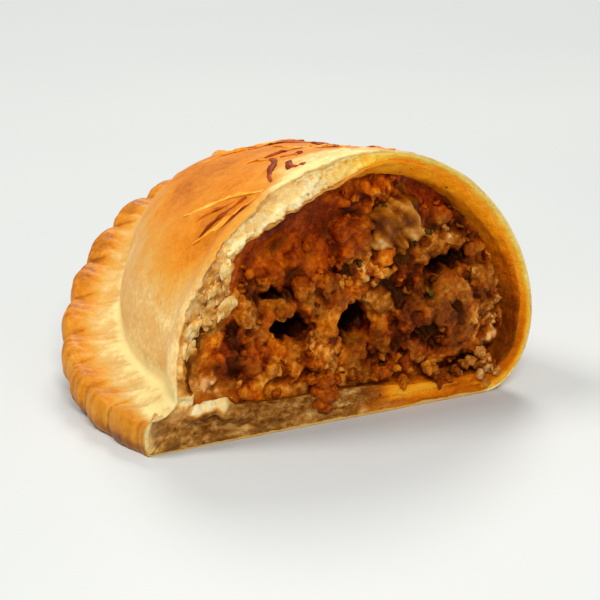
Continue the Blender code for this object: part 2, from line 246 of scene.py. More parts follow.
    def torn_inward(self, a, z, steps):
        """The broken wall near the cut: thicker in a flap on the left, thinner above it."""
        out_a, out_z = self.outside(steps)
        da, dz = a - out_a, z - out_z
        span = np.hypot(da, dz) + 1e-9
        push = np.zeros_like(a)
        for at, up, spread, amount in WALL_FORMS:
            push += amount * np.exp(-((a - at) ** 2 + (z - up) ** 2) / spread ** 2)
        ragged = grain(np.column_stack((a, np.full_like(a, self.t * 0.1), z)), 0.0017, 71.0)
        push += 0.0007 * ragged * (1 - smooth((a - 0.030) / 0.010)) * smooth((z - 0.004) / 0.003)
        push *= math.exp(-((self.t / 0.10) ** 2))
        right = smooth((a - 0.032) / 0.012) * smooth((z - 0.009) / 0.006)
        thin = LIP_DOUGH - span
        thick = DEEP_DOUGH - span
        push += right * np.where(self.t < LIP_EVEN_AT, thin * (1 - smooth(self.t / LIP_EVEN_AT)),
                                 thick * smooth((self.t - LIP_EVEN_AT) / 0.16))
        low = smooth((a - 0.036) / 0.014) * (1 - smooth((z - 0.007) / 0.004))
        push -= 0.0013 * low * math.exp(-((self.t / 0.12) ** 2))
        return a + da / span * push, z + dz / span * push

    def outer_ring(self, steps):
        return self.place(*self.outside(steps))

    def inner_ring(self, steps, gap=0.0):
        return self.place(*self.inside(steps, gap))


# Mesh helpers
def closed_mesh(rings, first=None, last=None):
    """Closed skin through rings of equal count: capped on two tips, or joined round as a torus."""
    rings = np.asarray(rings, float)
    rows, count = rings.shape[:2]
    points = rings.reshape(-1, 3)
    i, j = np.meshgrid(np.arange(rows if first is None else rows - 1), np.arange(count), indexing="ij")
    under, across = (i + 1) % rows, (j + 1) % count
    quads = np.stack((i * count + j, under * count + j, under * count + across, i * count + across), -1)
    faces = quads.reshape(-1, 4).tolist()
    if first is not None:
        points = np.vstack((points, first, last))
        start, end = rows * count, rows * count + 1
        base = (rows - 1) * count
        faces += [(k, (k + 1) % count, start) for k in range(count)]
        faces += [(base + (k + 1) % count, base + k, end) for k in range(count)]
    return outward(mesh_of(points + SHIFT, faces))


def mesh_of(points, faces=(), edges=()):
    mesh = bpy.data.meshes.new("shape")
    mesh.from_pydata(np.asarray(points).tolist(), edges, faces)
    mesh.update()
    return mesh


def primitive(make, **sizes):
    """A mesh of one of bmesh's own shapes."""
    holder = bmesh.new()
    make(holder, **sizes)
    mesh = bpy.data.meshes.new("shape")
    holder.to_mesh(mesh)
    holder.free()
    return mesh


def outward(mesh):
    """Turn a closed mesh's faces outward, by the sign of its volume."""
    mesh.calc_loop_triangles()
    corners = np.empty(len(mesh.loop_triangles) * 3, np.int32)
    mesh.loop_triangles.foreach_get("vertices", corners)
    points = coordinates(mesh)[corners.reshape(-1, 3)]
    if np.einsum("ij,ij->i", points[:, 0], np.cross(points[:, 1], points[:, 2])).sum() < 0:
        mesh.flip_normals()
    return mesh


def coordinates(mesh, kind="co"):
    points = np.empty(len(mesh.vertices) * 3, np.float32)
    mesh.vertices.foreach_get(kind, points)
    return points.reshape(-1, 3).astype(float)


def move(mesh, points):
    mesh.vertices.foreach_set("co", np.ascontiguousarray(points, np.float32).ravel())
    mesh.update()


def mark(mesh, name, values):
    """Store one number per point under a name, for a material or a tree to read."""
    layer = mesh.attributes.get(name) or mesh.attributes.new(name, "FLOAT", "POINT")
    layer.data.foreach_set("value", np.ascontiguousarray(values, np.float32).ravel())


def sampled(pattern, points, scale, seed):
    step = 1.0 / scale
    points = np.asarray(points)
    found = [pattern(Vector((x * step + seed, y * step, z * step))) for x, y, z in points.reshape(-1, 3)]
    return np.array(found).reshape(points.shape[:-1])


def grain(points, scale, seed):
    """Smooth noise from -1 to 1 at every point; scale is the real size of a bump in metres."""
    return sampled(noise.noise, points, scale, seed)


def cells(points, scale, seed):
    """Distance to the nearest of scattered spots, about 0 at a spot and 1 between them."""
    return sampled(lambda spot: noise.voronoi(spot)[0][0], points, scale, seed)


def ring_normals(rings):
    """Outward normals of a grid of rings that wrap round."""
    along = np.gradient(rings, axis=0)
    across = np.roll(rings, -1, axis=1) - np.roll(rings, 1, axis=1)
    found = np.cross(along, across)
    found /= np.linalg.norm(found, axis=2, keepdims=True) + 1e-12
    middle = rings.mean(axis=1, keepdims=True)
    return -found if (found * (rings - middle)).sum() < 0 else found


def search_tree(points):
    """Finds the nearest of many points and its number."""
    tree = kdtree.KDTree(len(points))
    for index, spot in enumerate(points):
        tree.insert(spot, index)
    tree.balance()
    return tree


def put_in_scene(name, data):
    item = bpy.data.objects.new(name, data)
    bpy.context.scene.collection.objects.link(item)
    return item


def add_piece(name, mesh, nodes=(), finish=None):
    """A finished piece of the food; a grown mesh brings its own finish."""
    mesh.name = name
    mesh.shade_smooth()
    if finish:
        mesh.materials.append(finish)
    piece = put_in_scene(name, mesh)
    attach(piece, "root")
    if nodes:
        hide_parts(*nodes)


def applied(mesh, kind, settings, inputs=None):
    """The plain mesh that one modifier makes of a mesh."""
    holder = put_in_scene("holder", mesh)
    modifier = holder.modifiers.new("shape", kind)
    for key, value in settings.items():
        setattr(modifier, key, value)
    for key, value in (inputs or {}).items():
        modifier[key] = value
    graph = bpy.context.evaluated_depsgraph_get()
    made = bpy.data.meshes.new_from_object(
        holder.evaluated_get(graph), preserve_all_data_layers=True, depsgraph=graph)
    holder.modifiers.remove(modifier)
    bpy.data.objects.remove(holder)
    return made


def grow(mesh, tree, values):
    """Run a Geometry Nodes tree on a mesh, its inputs given by their names."""
    sockets = tree.interface.items_tree
    inputs = {item.identifier: values[item.name] for item in sockets if item.name in values}
    return applied(mesh, "NODES", {"node_group": tree}, inputs)


# Node helpers
NOISE_INPUTS = ("Scale", "Detail", "Roughness", "Distortion")
SHEEN_INPUTS = ("IOR", "Specular IOR Level", "Specular Tint", "Subsurface Weight", "Subsurface Radius",
                "Subsurface Scale")


def linear(code):
    """sRGB hex to the linear colour that a shader reads."""
    parts = [int(code[i:i + 2], 16) / 255 for i in (1, 3, 5)]
    return (*[p / 12.92 if p <= 0.04045 else ((p + 0.055) / 1.055) ** 2.4 for p in parts], 1.0)


def add(tree, kind, links=None, out=0, stops=None, **settings):
    """Add a node and return one of its outputs, by name or number.

    links gives a socket or a plain value for each input; stops are the places and hex colours of a ramp.
    """
    node = tree.nodes.new(kind)
    for key, value in settings.items():
        setattr(node, key, value)
    for key, value in (links or {}).items():
        socket = node.inputs[key]
        if isinstance(value, bpy.types.NodeSocket):
            tree.links.new(value, socket)
        else:
            socket.default_value = value
    if stops:
        ramp = node.color_ramp
        while len(ramp.elements) < len(stops):
            ramp.elements.new(0.5)
        for element, (place, colour) in zip(ramp.elements, stops):
            element.position = place
            element.color = linear(colour)
    return node.outputs[out] if node.outputs else None


def new_material(name, *attributes):
    """A material, its tree, the place on the piece and the piece's own attributes that it reads."""
    material = bpy.data.materials.new(name)
    material.use_nodes = True
    tree = material.node_tree
    tree.nodes.clear()
    place = add(tree, "ShaderNodeTexCoord", out="Object")
    read = [add(tree, "ShaderNodeAttribute", out="Fac", attribute_name=label) for label in attributes]
    return (material, tree, place, *read)


def noise_inputs(place, pattern):
    """Inputs of a noise: scale per metre, detail, and where given roughness and distortion."""
    return {"Vector": place, **dict(zip(NOISE_INPUTS, pattern))}


def varied(tree, place, base, *layers):
    """A tone with noises added to it, each given as its least and greatest change and its pattern."""
    for low, high, *pattern in layers:
        cloud = add(tree, "ShaderNodeTexNoise", noise_inputs(place, pattern))
        change = add(tree, "ShaderNodeMapRange", {0: cloud, 1: 0.3, 2: 0.7, 3: low, 4: high})
        base = add(tree, "ShaderNodeMath", {0: base, 1: change}, operation="ADD")
    return base


def finish_material(tree, place, colour, rough, relief, sheen):
    """Shader of a material: relief rows are depth in metres, strength and pattern; sheen as its inputs."""
    bump = {}
    for depth, strength, *pattern in relief:
        height = add(tree, "ShaderNodeTexNoise", noise_inputs(place, pattern))
        layer = add(tree, "ShaderNodeBump", {
            "Height": height, "Distance": depth, "Strength": strength, **bump})
        bump = {"Normal": layer}
    values = [linear(value) if isinstance(value, str) else value for value in sheen]
    shader = add(tree, "ShaderNodeBsdfPrincipled", {
        "Base Color": colour, "Roughness": rough, **bump, **dict(zip(SHEEN_INPUTS, values))})
    add(tree, "ShaderNodeOutputMaterial", {"Surface": shader})


# Materials
def egg_washed_crust():
    """Wheat dough, egg-washed and baked: satin, gold where it is high, pale in the creases."""
    material, tree, place, bake, pressed = new_material("egg_washed_crust", "bake", "pressed")
    # Cloudy browning 7 mm across, mottling of the wash 0.7 mm, its brush strokes 2.5 mm
    tone = varied(tree, place, bake, (-0.10, 0.10, 140.0, 4.0, 0.55), (-0.07, 0.07, 1400.0, 3.0, 0.6),
                  (-0.06, 0.06, 400.0, 3.0, 0.6, 0.8))
    gold = add(tree, "ShaderNodeValToRGB", {0: tone}, stops=[
        (0.00, "#f8dc98"), (0.18, "#deb26a"), (0.36, "#dc9c3a"), (0.56, "#dc8412"), (0.78, "#b05e0c"),
        (1.0, "#6b2e06")])
    # The crimp, pressed thin and barely washed, bakes tan instead of orange
    tan = add(tree, "ShaderNodeValToRGB", {0: tone}, stops=[
        (0.00, "#e6d494"), (0.18, "#ceaf70"), (0.36, "#cc9c46"), (0.56, "#c8821c"), (0.78, "#9c5a10"),
        (1.0, "#5e2c08")])
    colour = add(tree, "ShaderNodeMix", {0: pressed, 6: gold, 7: tan}, out=2, data_type="RGBA")
    # Darker freckles where the wash blistered, up to 1 mm across, 3 mm apart, in patches of 11 mm
    spots = add(tree, "ShaderNodeTexVoronoi", {"Vector": place, "Scale": 300.0}, feature="F1")
    spots = add(tree, "ShaderNodeMapRange", {0: spots, 1: 0.04, 2: 0.16, 3: 0.35, 4: 0.0})
    patchy = add(tree, "ShaderNodeTexNoise", noise_inputs(place, (90.0, 2.0)))
    patchy = add(tree, "ShaderNodeMapRange", {0: patchy, 1: 0.5, 2: 0.62, 3: 0.0, 4: 1.0})
    spots = add(tree, "ShaderNodeMath", {0: spots, 1: patchy}, operation="MULTIPLY")
    colour = add(tree, "ShaderNodeMix", {0: spots, 6: colour, 7: linear("#9a561c")}, out=2, data_type="RGBA")
    # The wash dried glossier and duller in patches of 4 mm
    rough = add(tree, "ShaderNodeTexNoise", noise_inputs(place, (260.0, 5.0)))
    rough = add(tree, "ShaderNodeMapRange", {0: rough, 1: 0.3, 2: 0.7, 3: 0.36, 4: 0.58})
    # Pores and brush marks, 0.5 mm and 2 mm
    finish_material(tree, place, colour, rough, [(0.00012, 0.6, 2200.0, 3.0), (0.0004, 0.5, 500.0, 3.0)],
                    (1.45, 0.34, "#ffcc88", 0.06, (0.0025, 0.0012, 0.0005), 1.0))
    return material


def torn_crumb():
    """Cut and torn baked dough: matte cream flakes, stained orange and brown by the filling and darkened by
    painted shade.
    """
    material, tree, place, stain_and_shade, oiled, golden = new_material("torn_crumb", "stain_and_shade", "oiled", "golden")
    # Crumb, flakes 1.2 mm, stretched along the sheet of dough, and drifts of tone 4.5 mm across
    flaky = (800.0, 5.0, 0.65)
    long = add(tree, "ShaderNodeMapping", {"Vector": place, "Scale": (0.6, 1.0, 1.0)})
    tone = varied(tree, long, stain_and_shade, (-0.07, 0.10, *flaky))
    tone = varied(tree, place, tone, (-0.04, 0.04, 220.0, 3.0))
    tan = add(tree, "ShaderNodeValToRGB", {0: tone}, stops=[
        (0.0, "#fff0c2"), (0.12, "#ffd486"), (0.30, "#eeaa54"), (0.50, "#c07e2e"), (0.76, "#7e440c"),
        (1.0, "#4a1a02")])
    gold = add(tree, "ShaderNodeValToRGB", {0: tone}, stops=[
        (0.0, "#ffe27c"), (0.10, "#ffd050"), (0.22, "#ffb42c"), (0.38, "#f6940c"), (0.58, "#cc6602"),
        (0.78, "#8a3e02"), (1.0, "#4a1a02")])
    colour = add(tree, "ShaderNodeMix", {0: golden, 6: tan, 7: gold}, out=2, data_type="RGBA")
    # Where fat soaked in, the crumb's own grain shows as dark and light
    soaked = add(tree, "ShaderNodeTexNoise", noise_inputs(long, flaky))
    soaked = add(tree, "ShaderNodeValToRGB", {0: soaked}, stops=[
        (0.34, "#481e06"), (0.45, "#7e4816"), (0.54, "#ac7632"), (0.68, "#e2b66c")])
    colour = add(tree, "ShaderNodeMix", {0: oiled, 6: colour, 7: soaked}, out=2, data_type="RGBA")
    # Specks of burnt crumb and herb, about 0.4 mm, 3 mm apart
    speck = add(tree, "ShaderNodeTexVoronoi", {"Vector": place, "Scale": 330.0}, feature="F1")
    speck = add(tree, "ShaderNodeMapRange", {0: speck, 1: 0.05, 2: 0.10, 3: 0.8, 4: 0.0})
    colour = add(tree, "ShaderNodeMix", {0: speck, 6: colour, 7: linear("#4a2408")}, out=2, data_type="RGBA")
    rough = add(tree, "ShaderNodeMapRange", {0: stain_and_shade, 1: 0.2, 2: 0.8, 3: 0.78, 4: 0.42})
    # Fine crumb and the open pores of the bake, 0.4 mm and 0.9 mm
    finish_material(tree, place, colour, rough,
                    [(0.0003, 0.8, 2600.0, 4.0, 0.6), (0.0006, 0.7, 1100.0, 3.0, 0.7)],
                    (1.42, 0.2, "#ffd090", 0.28, (0.0026, 0.0014, 0.0005), 1.0))
    return material


def browned_parmesan():
    """Grated parmesan baked on the crust: waxy gold, brown where it caught."""
    material, tree, place, bake = new_material("browned_parmesan", "bake")
    # Browned in patches 2 mm long, and grated to a grain of 0.5 mm
    tone = varied(tree, place, bake, (-0.15, 0.15, 500.0, 3.0))
    colour = add(tree, "ShaderNodeValToRGB", {0: tone}, stops=[
        (0.0, "#fbd06a"), (0.3, "#ee9e28"), (0.55, "#d06a10"), (0.8, "#a8460a"), (1.0, "#7c2a06")])
    finish_material(tree, place, colour, 0.5, [(0.00015, 0.6, 2000.0, 3.0)],
                    (1.46, 0.2, "#ffb060", 0.1, (0.0015, 0.0009, 0.0003), 1.0))
    return material


def sauced_mince():
    """Minced meatball in tomato sauce: brown grains, orange where the sauce and fat lie on them."""
    material, tree, place, tone, sauce, crevice_shade = new_material("sauced_mince", "tone", "sauce", "crevice_shade")
    # Meat fibre, about 0.9 mm
    tone = varied(tree, place, tone, (-0.2, 0.2, 1100.0, 4.0, 0.65))
    meat = add(tree, "ShaderNodeValToRGB", {0: tone}, stops=[
        (0.0, "#280900"), (0.22, "#561e02"), (0.45, "#7a3806"), (0.68, "#9e5a12"), (0.86, "#c8863e"),
        (1.0, "#f0b87a")])
    red = add(tree, "ShaderNodeValToRGB", {0: tone}, stops=[
        (0.0, "#420a00"), (0.25, "#7c2200"), (0.55, "#ba5000"), (0.8, "#e08410"), (1.0, "#f6ac34")])
    # Sauce lies in streaks about 3 mm long
    streak = add(tree, "ShaderNodeTexNoise", noise_inputs(place, (320.0, 3.0, 0.5, 0.6)))
    streak = add(tree, "ShaderNodeMapRange", {0: streak, 1: 0.35, 2: 0.65, 3: -0.3, 4: 0.3})
    wet = add(tree, "ShaderNodeMath", {0: sauce, 1: streak}, operation="ADD", use_clamp=True)
    colour = add(tree, "ShaderNodeMix", {0: wet, 6: meat, 7: red}, out=2, data_type="RGBA")
    # Painted shade: crevices and hollows go near black
    colour = add(tree, "ShaderNodeMix", {0: crevice_shade, 6: colour, 7: linear("#1c0702")}, out=2, data_type="RGBA")
    rough = add(tree, "ShaderNodeMapRange", {0: wet, 1: 0.0, 2: 1.0, 3: 0.5, 4: 0.26})
    # The meat's own grain, 0.4 mm
    finish_material(tree, place, colour, rough, [(0.0003, 0.7, 2400.0, 4.0, 0.6)],
                    (1.45, 0.46, "#ffa850", 0.05, (0.0020, 0.0008, 0.0003), 1.0))
    return material


def melted_mozzarella():
    """Melted cheese stained by sauce: smooth, waxy, olive tan."""
    material, tree, place, tone = new_material("melted_mozzarella", "tone")
    # Sauce soaked in by patches 1.4 mm across, and the surface is uneven at 0.6 mm
    tone = varied(tree, place, tone, (-0.2, 0.2, 700.0, 4.0))
    colour = add(tree, "ShaderNodeValToRGB", {0: tone}, stops=[
        (0.0, "#4c1600"), (0.3, "#7c3c02"), (0.55, "#a45e0e"), (0.8, "#c88836"), (1.0, "#ecc088")])
    finish_material(tree, place, colour, 0.34, [(0.0003, 0.6, 1600.0, 3.0)],
                    (1.46, 0.4, "#ffc070", 0.1, (0.002, 0.0012, 0.0005), 1.0))
    return material


def dried_basil():
    """Dried basil in the sauce: small matt dark green flakes."""
    material, tree, place = new_material("dried_basil")
    # Veins and curled edges, 0.8 mm
    vary = add(tree, "ShaderNodeTexNoise", noise_inputs(place, (1200.0, 2.0)))
    colour = add(tree, "ShaderNodeValToRGB", {0: vary}, stops=[(0.35, "#2c2406"), (0.65, "#5c4c14")])
    finish_material(tree, place, colour, 0.6, [(0.0002, 0.5, 1200.0, 2.0)], (1.45, 0.1))
    return material


def matt_pale_board():
    """Matt painted board: plain and pale."""
    material, tree, place = new_material("matt_pale_board")
    # Clouds of the paint 17 cm across and the roller's grain, 1 mm
    haze = add(tree, "ShaderNodeTexNoise", noise_inputs(place, (6.0, 2.0)))
    colour = add(tree, "ShaderNodeValToRGB", {0: haze}, stops=[(0.3, "#cad3da"), (0.7, "#d1d9df")])
    finish_material(tree, place, colour, 0.5, [(0.0001, 0.2, 900.0, 2.0)], (1.4,))
    return material


# Crust
# Browner and paler patches of the dome: middle and spread in t, middle and spread in share, change
DOME_PATCHES = (
    (0.15, 0.080, 0.25, 0.07, 0.20),
    (0.42, 0.200, 0.30, 0.12, 0.12),
    (0.05, 0.070, 0.10, 0.10, -0.10),
    (0.00, 0.050, 0.52, 0.22, -0.30),
)
# The first turns of the lip at the cut: way toward the cavity, way back from the cut
LIP_TURNS = ((0.00010, -0.00004), (0.00030, 0.00006), (0.0007, 0.0007))
LINING_RINGS = 11
LINING_GAP = -0.0005
# How deep behind the cut lie the ring half way into the dough, the cavity's edge and the lining
HALF_DEPTH, INNER_DEPTH, LINING_DEPTH = 0.0030, 0.0034, 0.0035
TIP_RINGS = 7
TIP_ROUND = 0.0019
WRINKLE_PITCH = 0.00105
# How far along the skin its broken edge at the cut evens out
EDGE_FADE = 0.0070


def skin_zones(steps):
    """Round one slice: share of the dome, 1 on the dome, share of the ledge, turn round the rim."""
    rim_at, ledge_at, dome_at, fold_at = zone_starts(steps)
    share, on_dome, ledge_share, rim_turn = np.zeros((4, sum(steps) + 1))
    share[dome_at:fold_at] = np.arange(steps[3]) / steps[3]
    share[fold_at:] = 1.0
    on_dome[dome_at:] = 1.0
    ledge_share[ledge_at:dome_at] = np.arange(1, steps[2] + 1) / (steps[2] + 1)
    ledge_share[dome_at:] = 1.0
    rim_turn[rim_at:ledge_at] = np.arange(steps[1] + 1) / steps[1]
    rim_turn[ledge_at:] = 1.0
    return share, on_dome, ledge_share, rim_turn


def skin_relief(rings, slices, t, zones):
    """Rise of the skin's own relief, its pinch wrinkles, its pale flaked dough and its pressed line."""
    share, on_dome, ledge_share, rim_turn = zones
    # Slow undulation and small blisters on the dome
    slow = grain(rings, 0.013, 3.0)
    quick = grain(rings, 0.0042, 8.0)
    blister = np.clip(0.34 - cells(rings, 0.0040, 2.0), 0, 1) * smooth(grain(rings, 0.014, 5.0) * 2.2)
    rise = on_dome * smooth(share / 0.06) * (0.00042 * slow + 0.00009 * quick + 0.0007 * blister)
    # Pinch wrinkles about 1 mm apart on the ledge and the rim
    ledge_weight = np.sin(np.pi * ledge_share) ** 0.7 * (1 - on_dome)
    rim_weight = np.sin(np.pi * rim_turn) * (ledge_share == 0)
    arc = np.array([[s.length] for s in slices])
    across = ledge_share * np.array([[s.ledge] for s in slices])
    wrinkle_spot = np.stack(
        ((arc + across * 0.4) / WRINKLE_PITCH, across / 0.0060, np.zeros_like(across)), -1)
    wrinkle = grain(wrinkle_spot, 1.0, 1.0)
    rough = grain(rings, 0.0016, 9.0)
    rise = rise + (ledge_weight + rim_weight * 0.8) * (0.00034 * wrinkle + 0.00014 * rough)
    # Pale dough that flaked open beside the top of the cut
    pale = bell(share, 0.475, 0.105) * (1 - smooth((t - 0.12) / 0.16)) * on_dome
    pale = smooth(pale * 1.5 - 0.25 + 0.45 * grain(rings, 0.0030, 15.0))
    rise = rise + pale * (0.00042 * grain(rings, 0.0015, 16.0) + 0.00018 * rough)
    # A pressed line where the ledge meets the dome
    press = bell(ledge_share + on_dome * share * 3.0, 0.98, 0.09)
    calm = smooth(t / 0.035) * smooth((OUTER_END - t) / 0.05 + 0.3)
    return (rise - 0.00035 * press) * calm, wrinkle, pale, press


def edge_break(outline):
    """How far the skin broke back from the cut: ragged at the left and top, clean at the fold."""
    ragged = smooth((outline[:, 2] - 0.007) / 0.010) * (1 - smooth((outline[:, 0] + 0.040) / 0.022))
    broken = 0.0021 + 0.0012 * grain(outline, 0.0040, 11.0) + 0.0009 * grain(outline, 0.0012, 12.0)
    return ragged * np.clip(broken, 0, 0.0036)


def crust_browning_and_shading(t, zones, slices, wrinkle, pale):
    """How far each part of the skin browned, from 0 (pale) to 1 (dark), with painted shade in the crimp's
    seams and low on its rim, and painted highlights by the cut.
    """
    share, on_dome, ledge_share, rim_turn = zones
    dome = 0.17 + 0.36 * smooth((share - 0.04) / 0.30) - 0.06 * smooth((share - 0.62) / 0.4)
    for at, wide, up, high, change in DOME_PATCHES:
        dome = dome + change * bell(t, at, wide) * bell(share, up, high)
    # Paler where the dough flaked open, and a painted highlight along the cut edge on the fold side
    dome = dome - 0.44 * pale - 0.30 * bell(t, 0.0, 0.024) * smooth((share - 0.55) / 0.10)
    dome = dome - 0.10 * smooth((t - 0.55) / 0.35)
    # The ledge is palest beside the dome and near the cut, and painted shade darkens the seams between its
    # lumps
    lumps = np.array([[s.lump(0.0)] for s in slices])
    seam_shade = np.clip(1 - lumps / 0.36, 0, 1) ** 1.5 * (1 - smooth((ledge_share - 0.25) / 0.4))
    ledge = 0.56 - 0.38 * smooth((ledge_share - 0.10) / 0.55)
    ledge = ledge - 0.14 * bell(t, 0.0, 0.14) * smooth(ledge_share / 0.2)
    ledge = ledge + 0.12 * (lumps - 0.6) - 0.15 * wrinkle * (1 - on_dome) + 0.34 * seam_shade
    # Paler again at the front by the cut: a painted highlight on the ledge
    ledge = ledge - 0.34 * bell(t, 0.0, 0.05) * smooth((ledge_share - 0.04) / 0.22)
    ledge = ledge + 0.10 * smooth((t - 0.3) / 0.4)
    # The rim turns from the brown underside up to the ledge
    # The underside is browned, with painted shade in its seams
    bottom = 0.74 + 0.15 * seam_shade - 0.16 * bell(t, 0.0, 0.12)
    rim = bottom + (ledge - bottom) * smooth(rim_turn * 1.6)
    # A darker band low on the rim near the cut is painted shade
    rim = rim + 0.30 * bell(rim_turn, 0.30, 0.12) * bell(t, 0.03, 0.14)
    value = np.where(on_dome > 0, dome, np.where(rim_turn < 1.0, rim, ledge))
    return np.clip(value, 0.02, 0.98)


def tip_rings(ring):
    """Round the far end off: the last slice shrinks as it moves on toward the tip."""
    middle = ring.mean(axis=0)
    rings = []
    for k in range(TIP_RINGS, 0, -1):
        turn = k / (TIP_RINGS + 1) * math.pi / 2
        rings.append(middle + (ring - middle) * math.cos(turn) ** 0.8 + [0, TIP_ROUND * math.sin(turn), 0])
    return rings


def skin_lining(lip):
    """From the cut edge the dough turns inward, then runs on as the wall of the cavity."""
    inner = Slice(0.0).inner_ring(SKIN_STEPS, LINING_GAP)
    toward = inner - lip
    toward /= np.linalg.norm(toward, axis=1, keepdims=True) + 1e-9
    half = lip * 0.5 + inner * 0.5
    half[:, 1] = HALF_DEPTH
    inner[:, 1] = INNER_DEPTH
    rings = [lip + toward * inward + [0, back, 0] for inward, back in LIP_TURNS] + [half, inner]
    for k in range(1, LINING_RINGS + 1):
        ring = Slice(CAVITY_END * (k / LINING_RINGS) ** 1.3).inner_ring(SKIN_STEPS, LINING_GAP)
        ring[:, 1] = np.maximum(ring[:, 1], LINING_DEPTH)
        rings.append(ring)
    return rings


def mark_skin(mesh, name, values, lining_share, ends):
    """Mark the skin, its tip as its last slice and its lining as a share of the lip."""
    rows = (np.repeat(values[:1], TIP_RINGS, 0), values,
            np.repeat(values[-1:] * lining_share, len(LIP_TURNS) + 2 + LINING_RINGS, 0))
    mark(mesh, name, np.append(np.concatenate(rows), ends))


def build_crust(finish):
    """The baked skin: dome, fold, base and crimp; returns its rings for what lies on them."""
    t = OUTER_END * (1 - np.arange(SKIN_RINGS) / (SKIN_RINGS - 1))[:, None]
    slices = [Slice(value) for value in t[:, 0]]
    rings = np.array([s.outer_ring(SKIN_STEPS) for s in slices])
    zones = skin_zones(SKIN_STEPS)
    rise, wrinkle, pale, press = skin_relief(rings, slices, t, zones)
    broken = edge_break(rings[-1])
    rings = rings + ring_normals(rings) * rise[:, :, None]
    rings[:, :, 1] += broken * np.clip(1 - rings[:, :, 1] / EDGE_FADE, 0, 1)
    rings[:, :, 2] = np.maximum(rings[:, :, 2], 0.0)
    head = tip_rings(rings[0])
    every = np.concatenate((head, rings, skin_lining(rings[-1])))
    mesh = closed_mesh(every, head[0].mean(axis=0) + [0, 0.00012, 0], every[-1].mean(axis=0))
    bake = crust_browning_and_shading(t, zones, slices, wrinkle, pale) - 0.25 * press * (t < 0.8)
    mark_skin(mesh, "bake", bake, 0.5, [bake[0].mean(), 0.4])
    share, on_dome, _, _ = zones
    pressed = (1 - on_dome * smooth(share / 0.05)) * (0.70 + 0.25 * bell(t, 0.0, 0.20))
    mark_skin(mesh, "pressed", pressed, 1.0, [0.5, 0.0])
    add_piece("crust_skin", mesh, ("crust",), finish)
    return rings


# Cut dough
FACE_INSET = 0.00016
# The pale sill's middle and spread across the food, and the flap's across it and up
SILL = (-0.0592, 0.0080)
FLAP_ACROSS = (-0.0565, 0.0075)
FLAP_UP = (0.0195, 0.0080)
# The wall's last slice, then the slices and least depth of the rings that close the skin behind it
WALL_END = 0.26
BACK_SLICES = (0.25, 0.14, 0.09, 0.05)
BACK_DEPTH = 0.0052


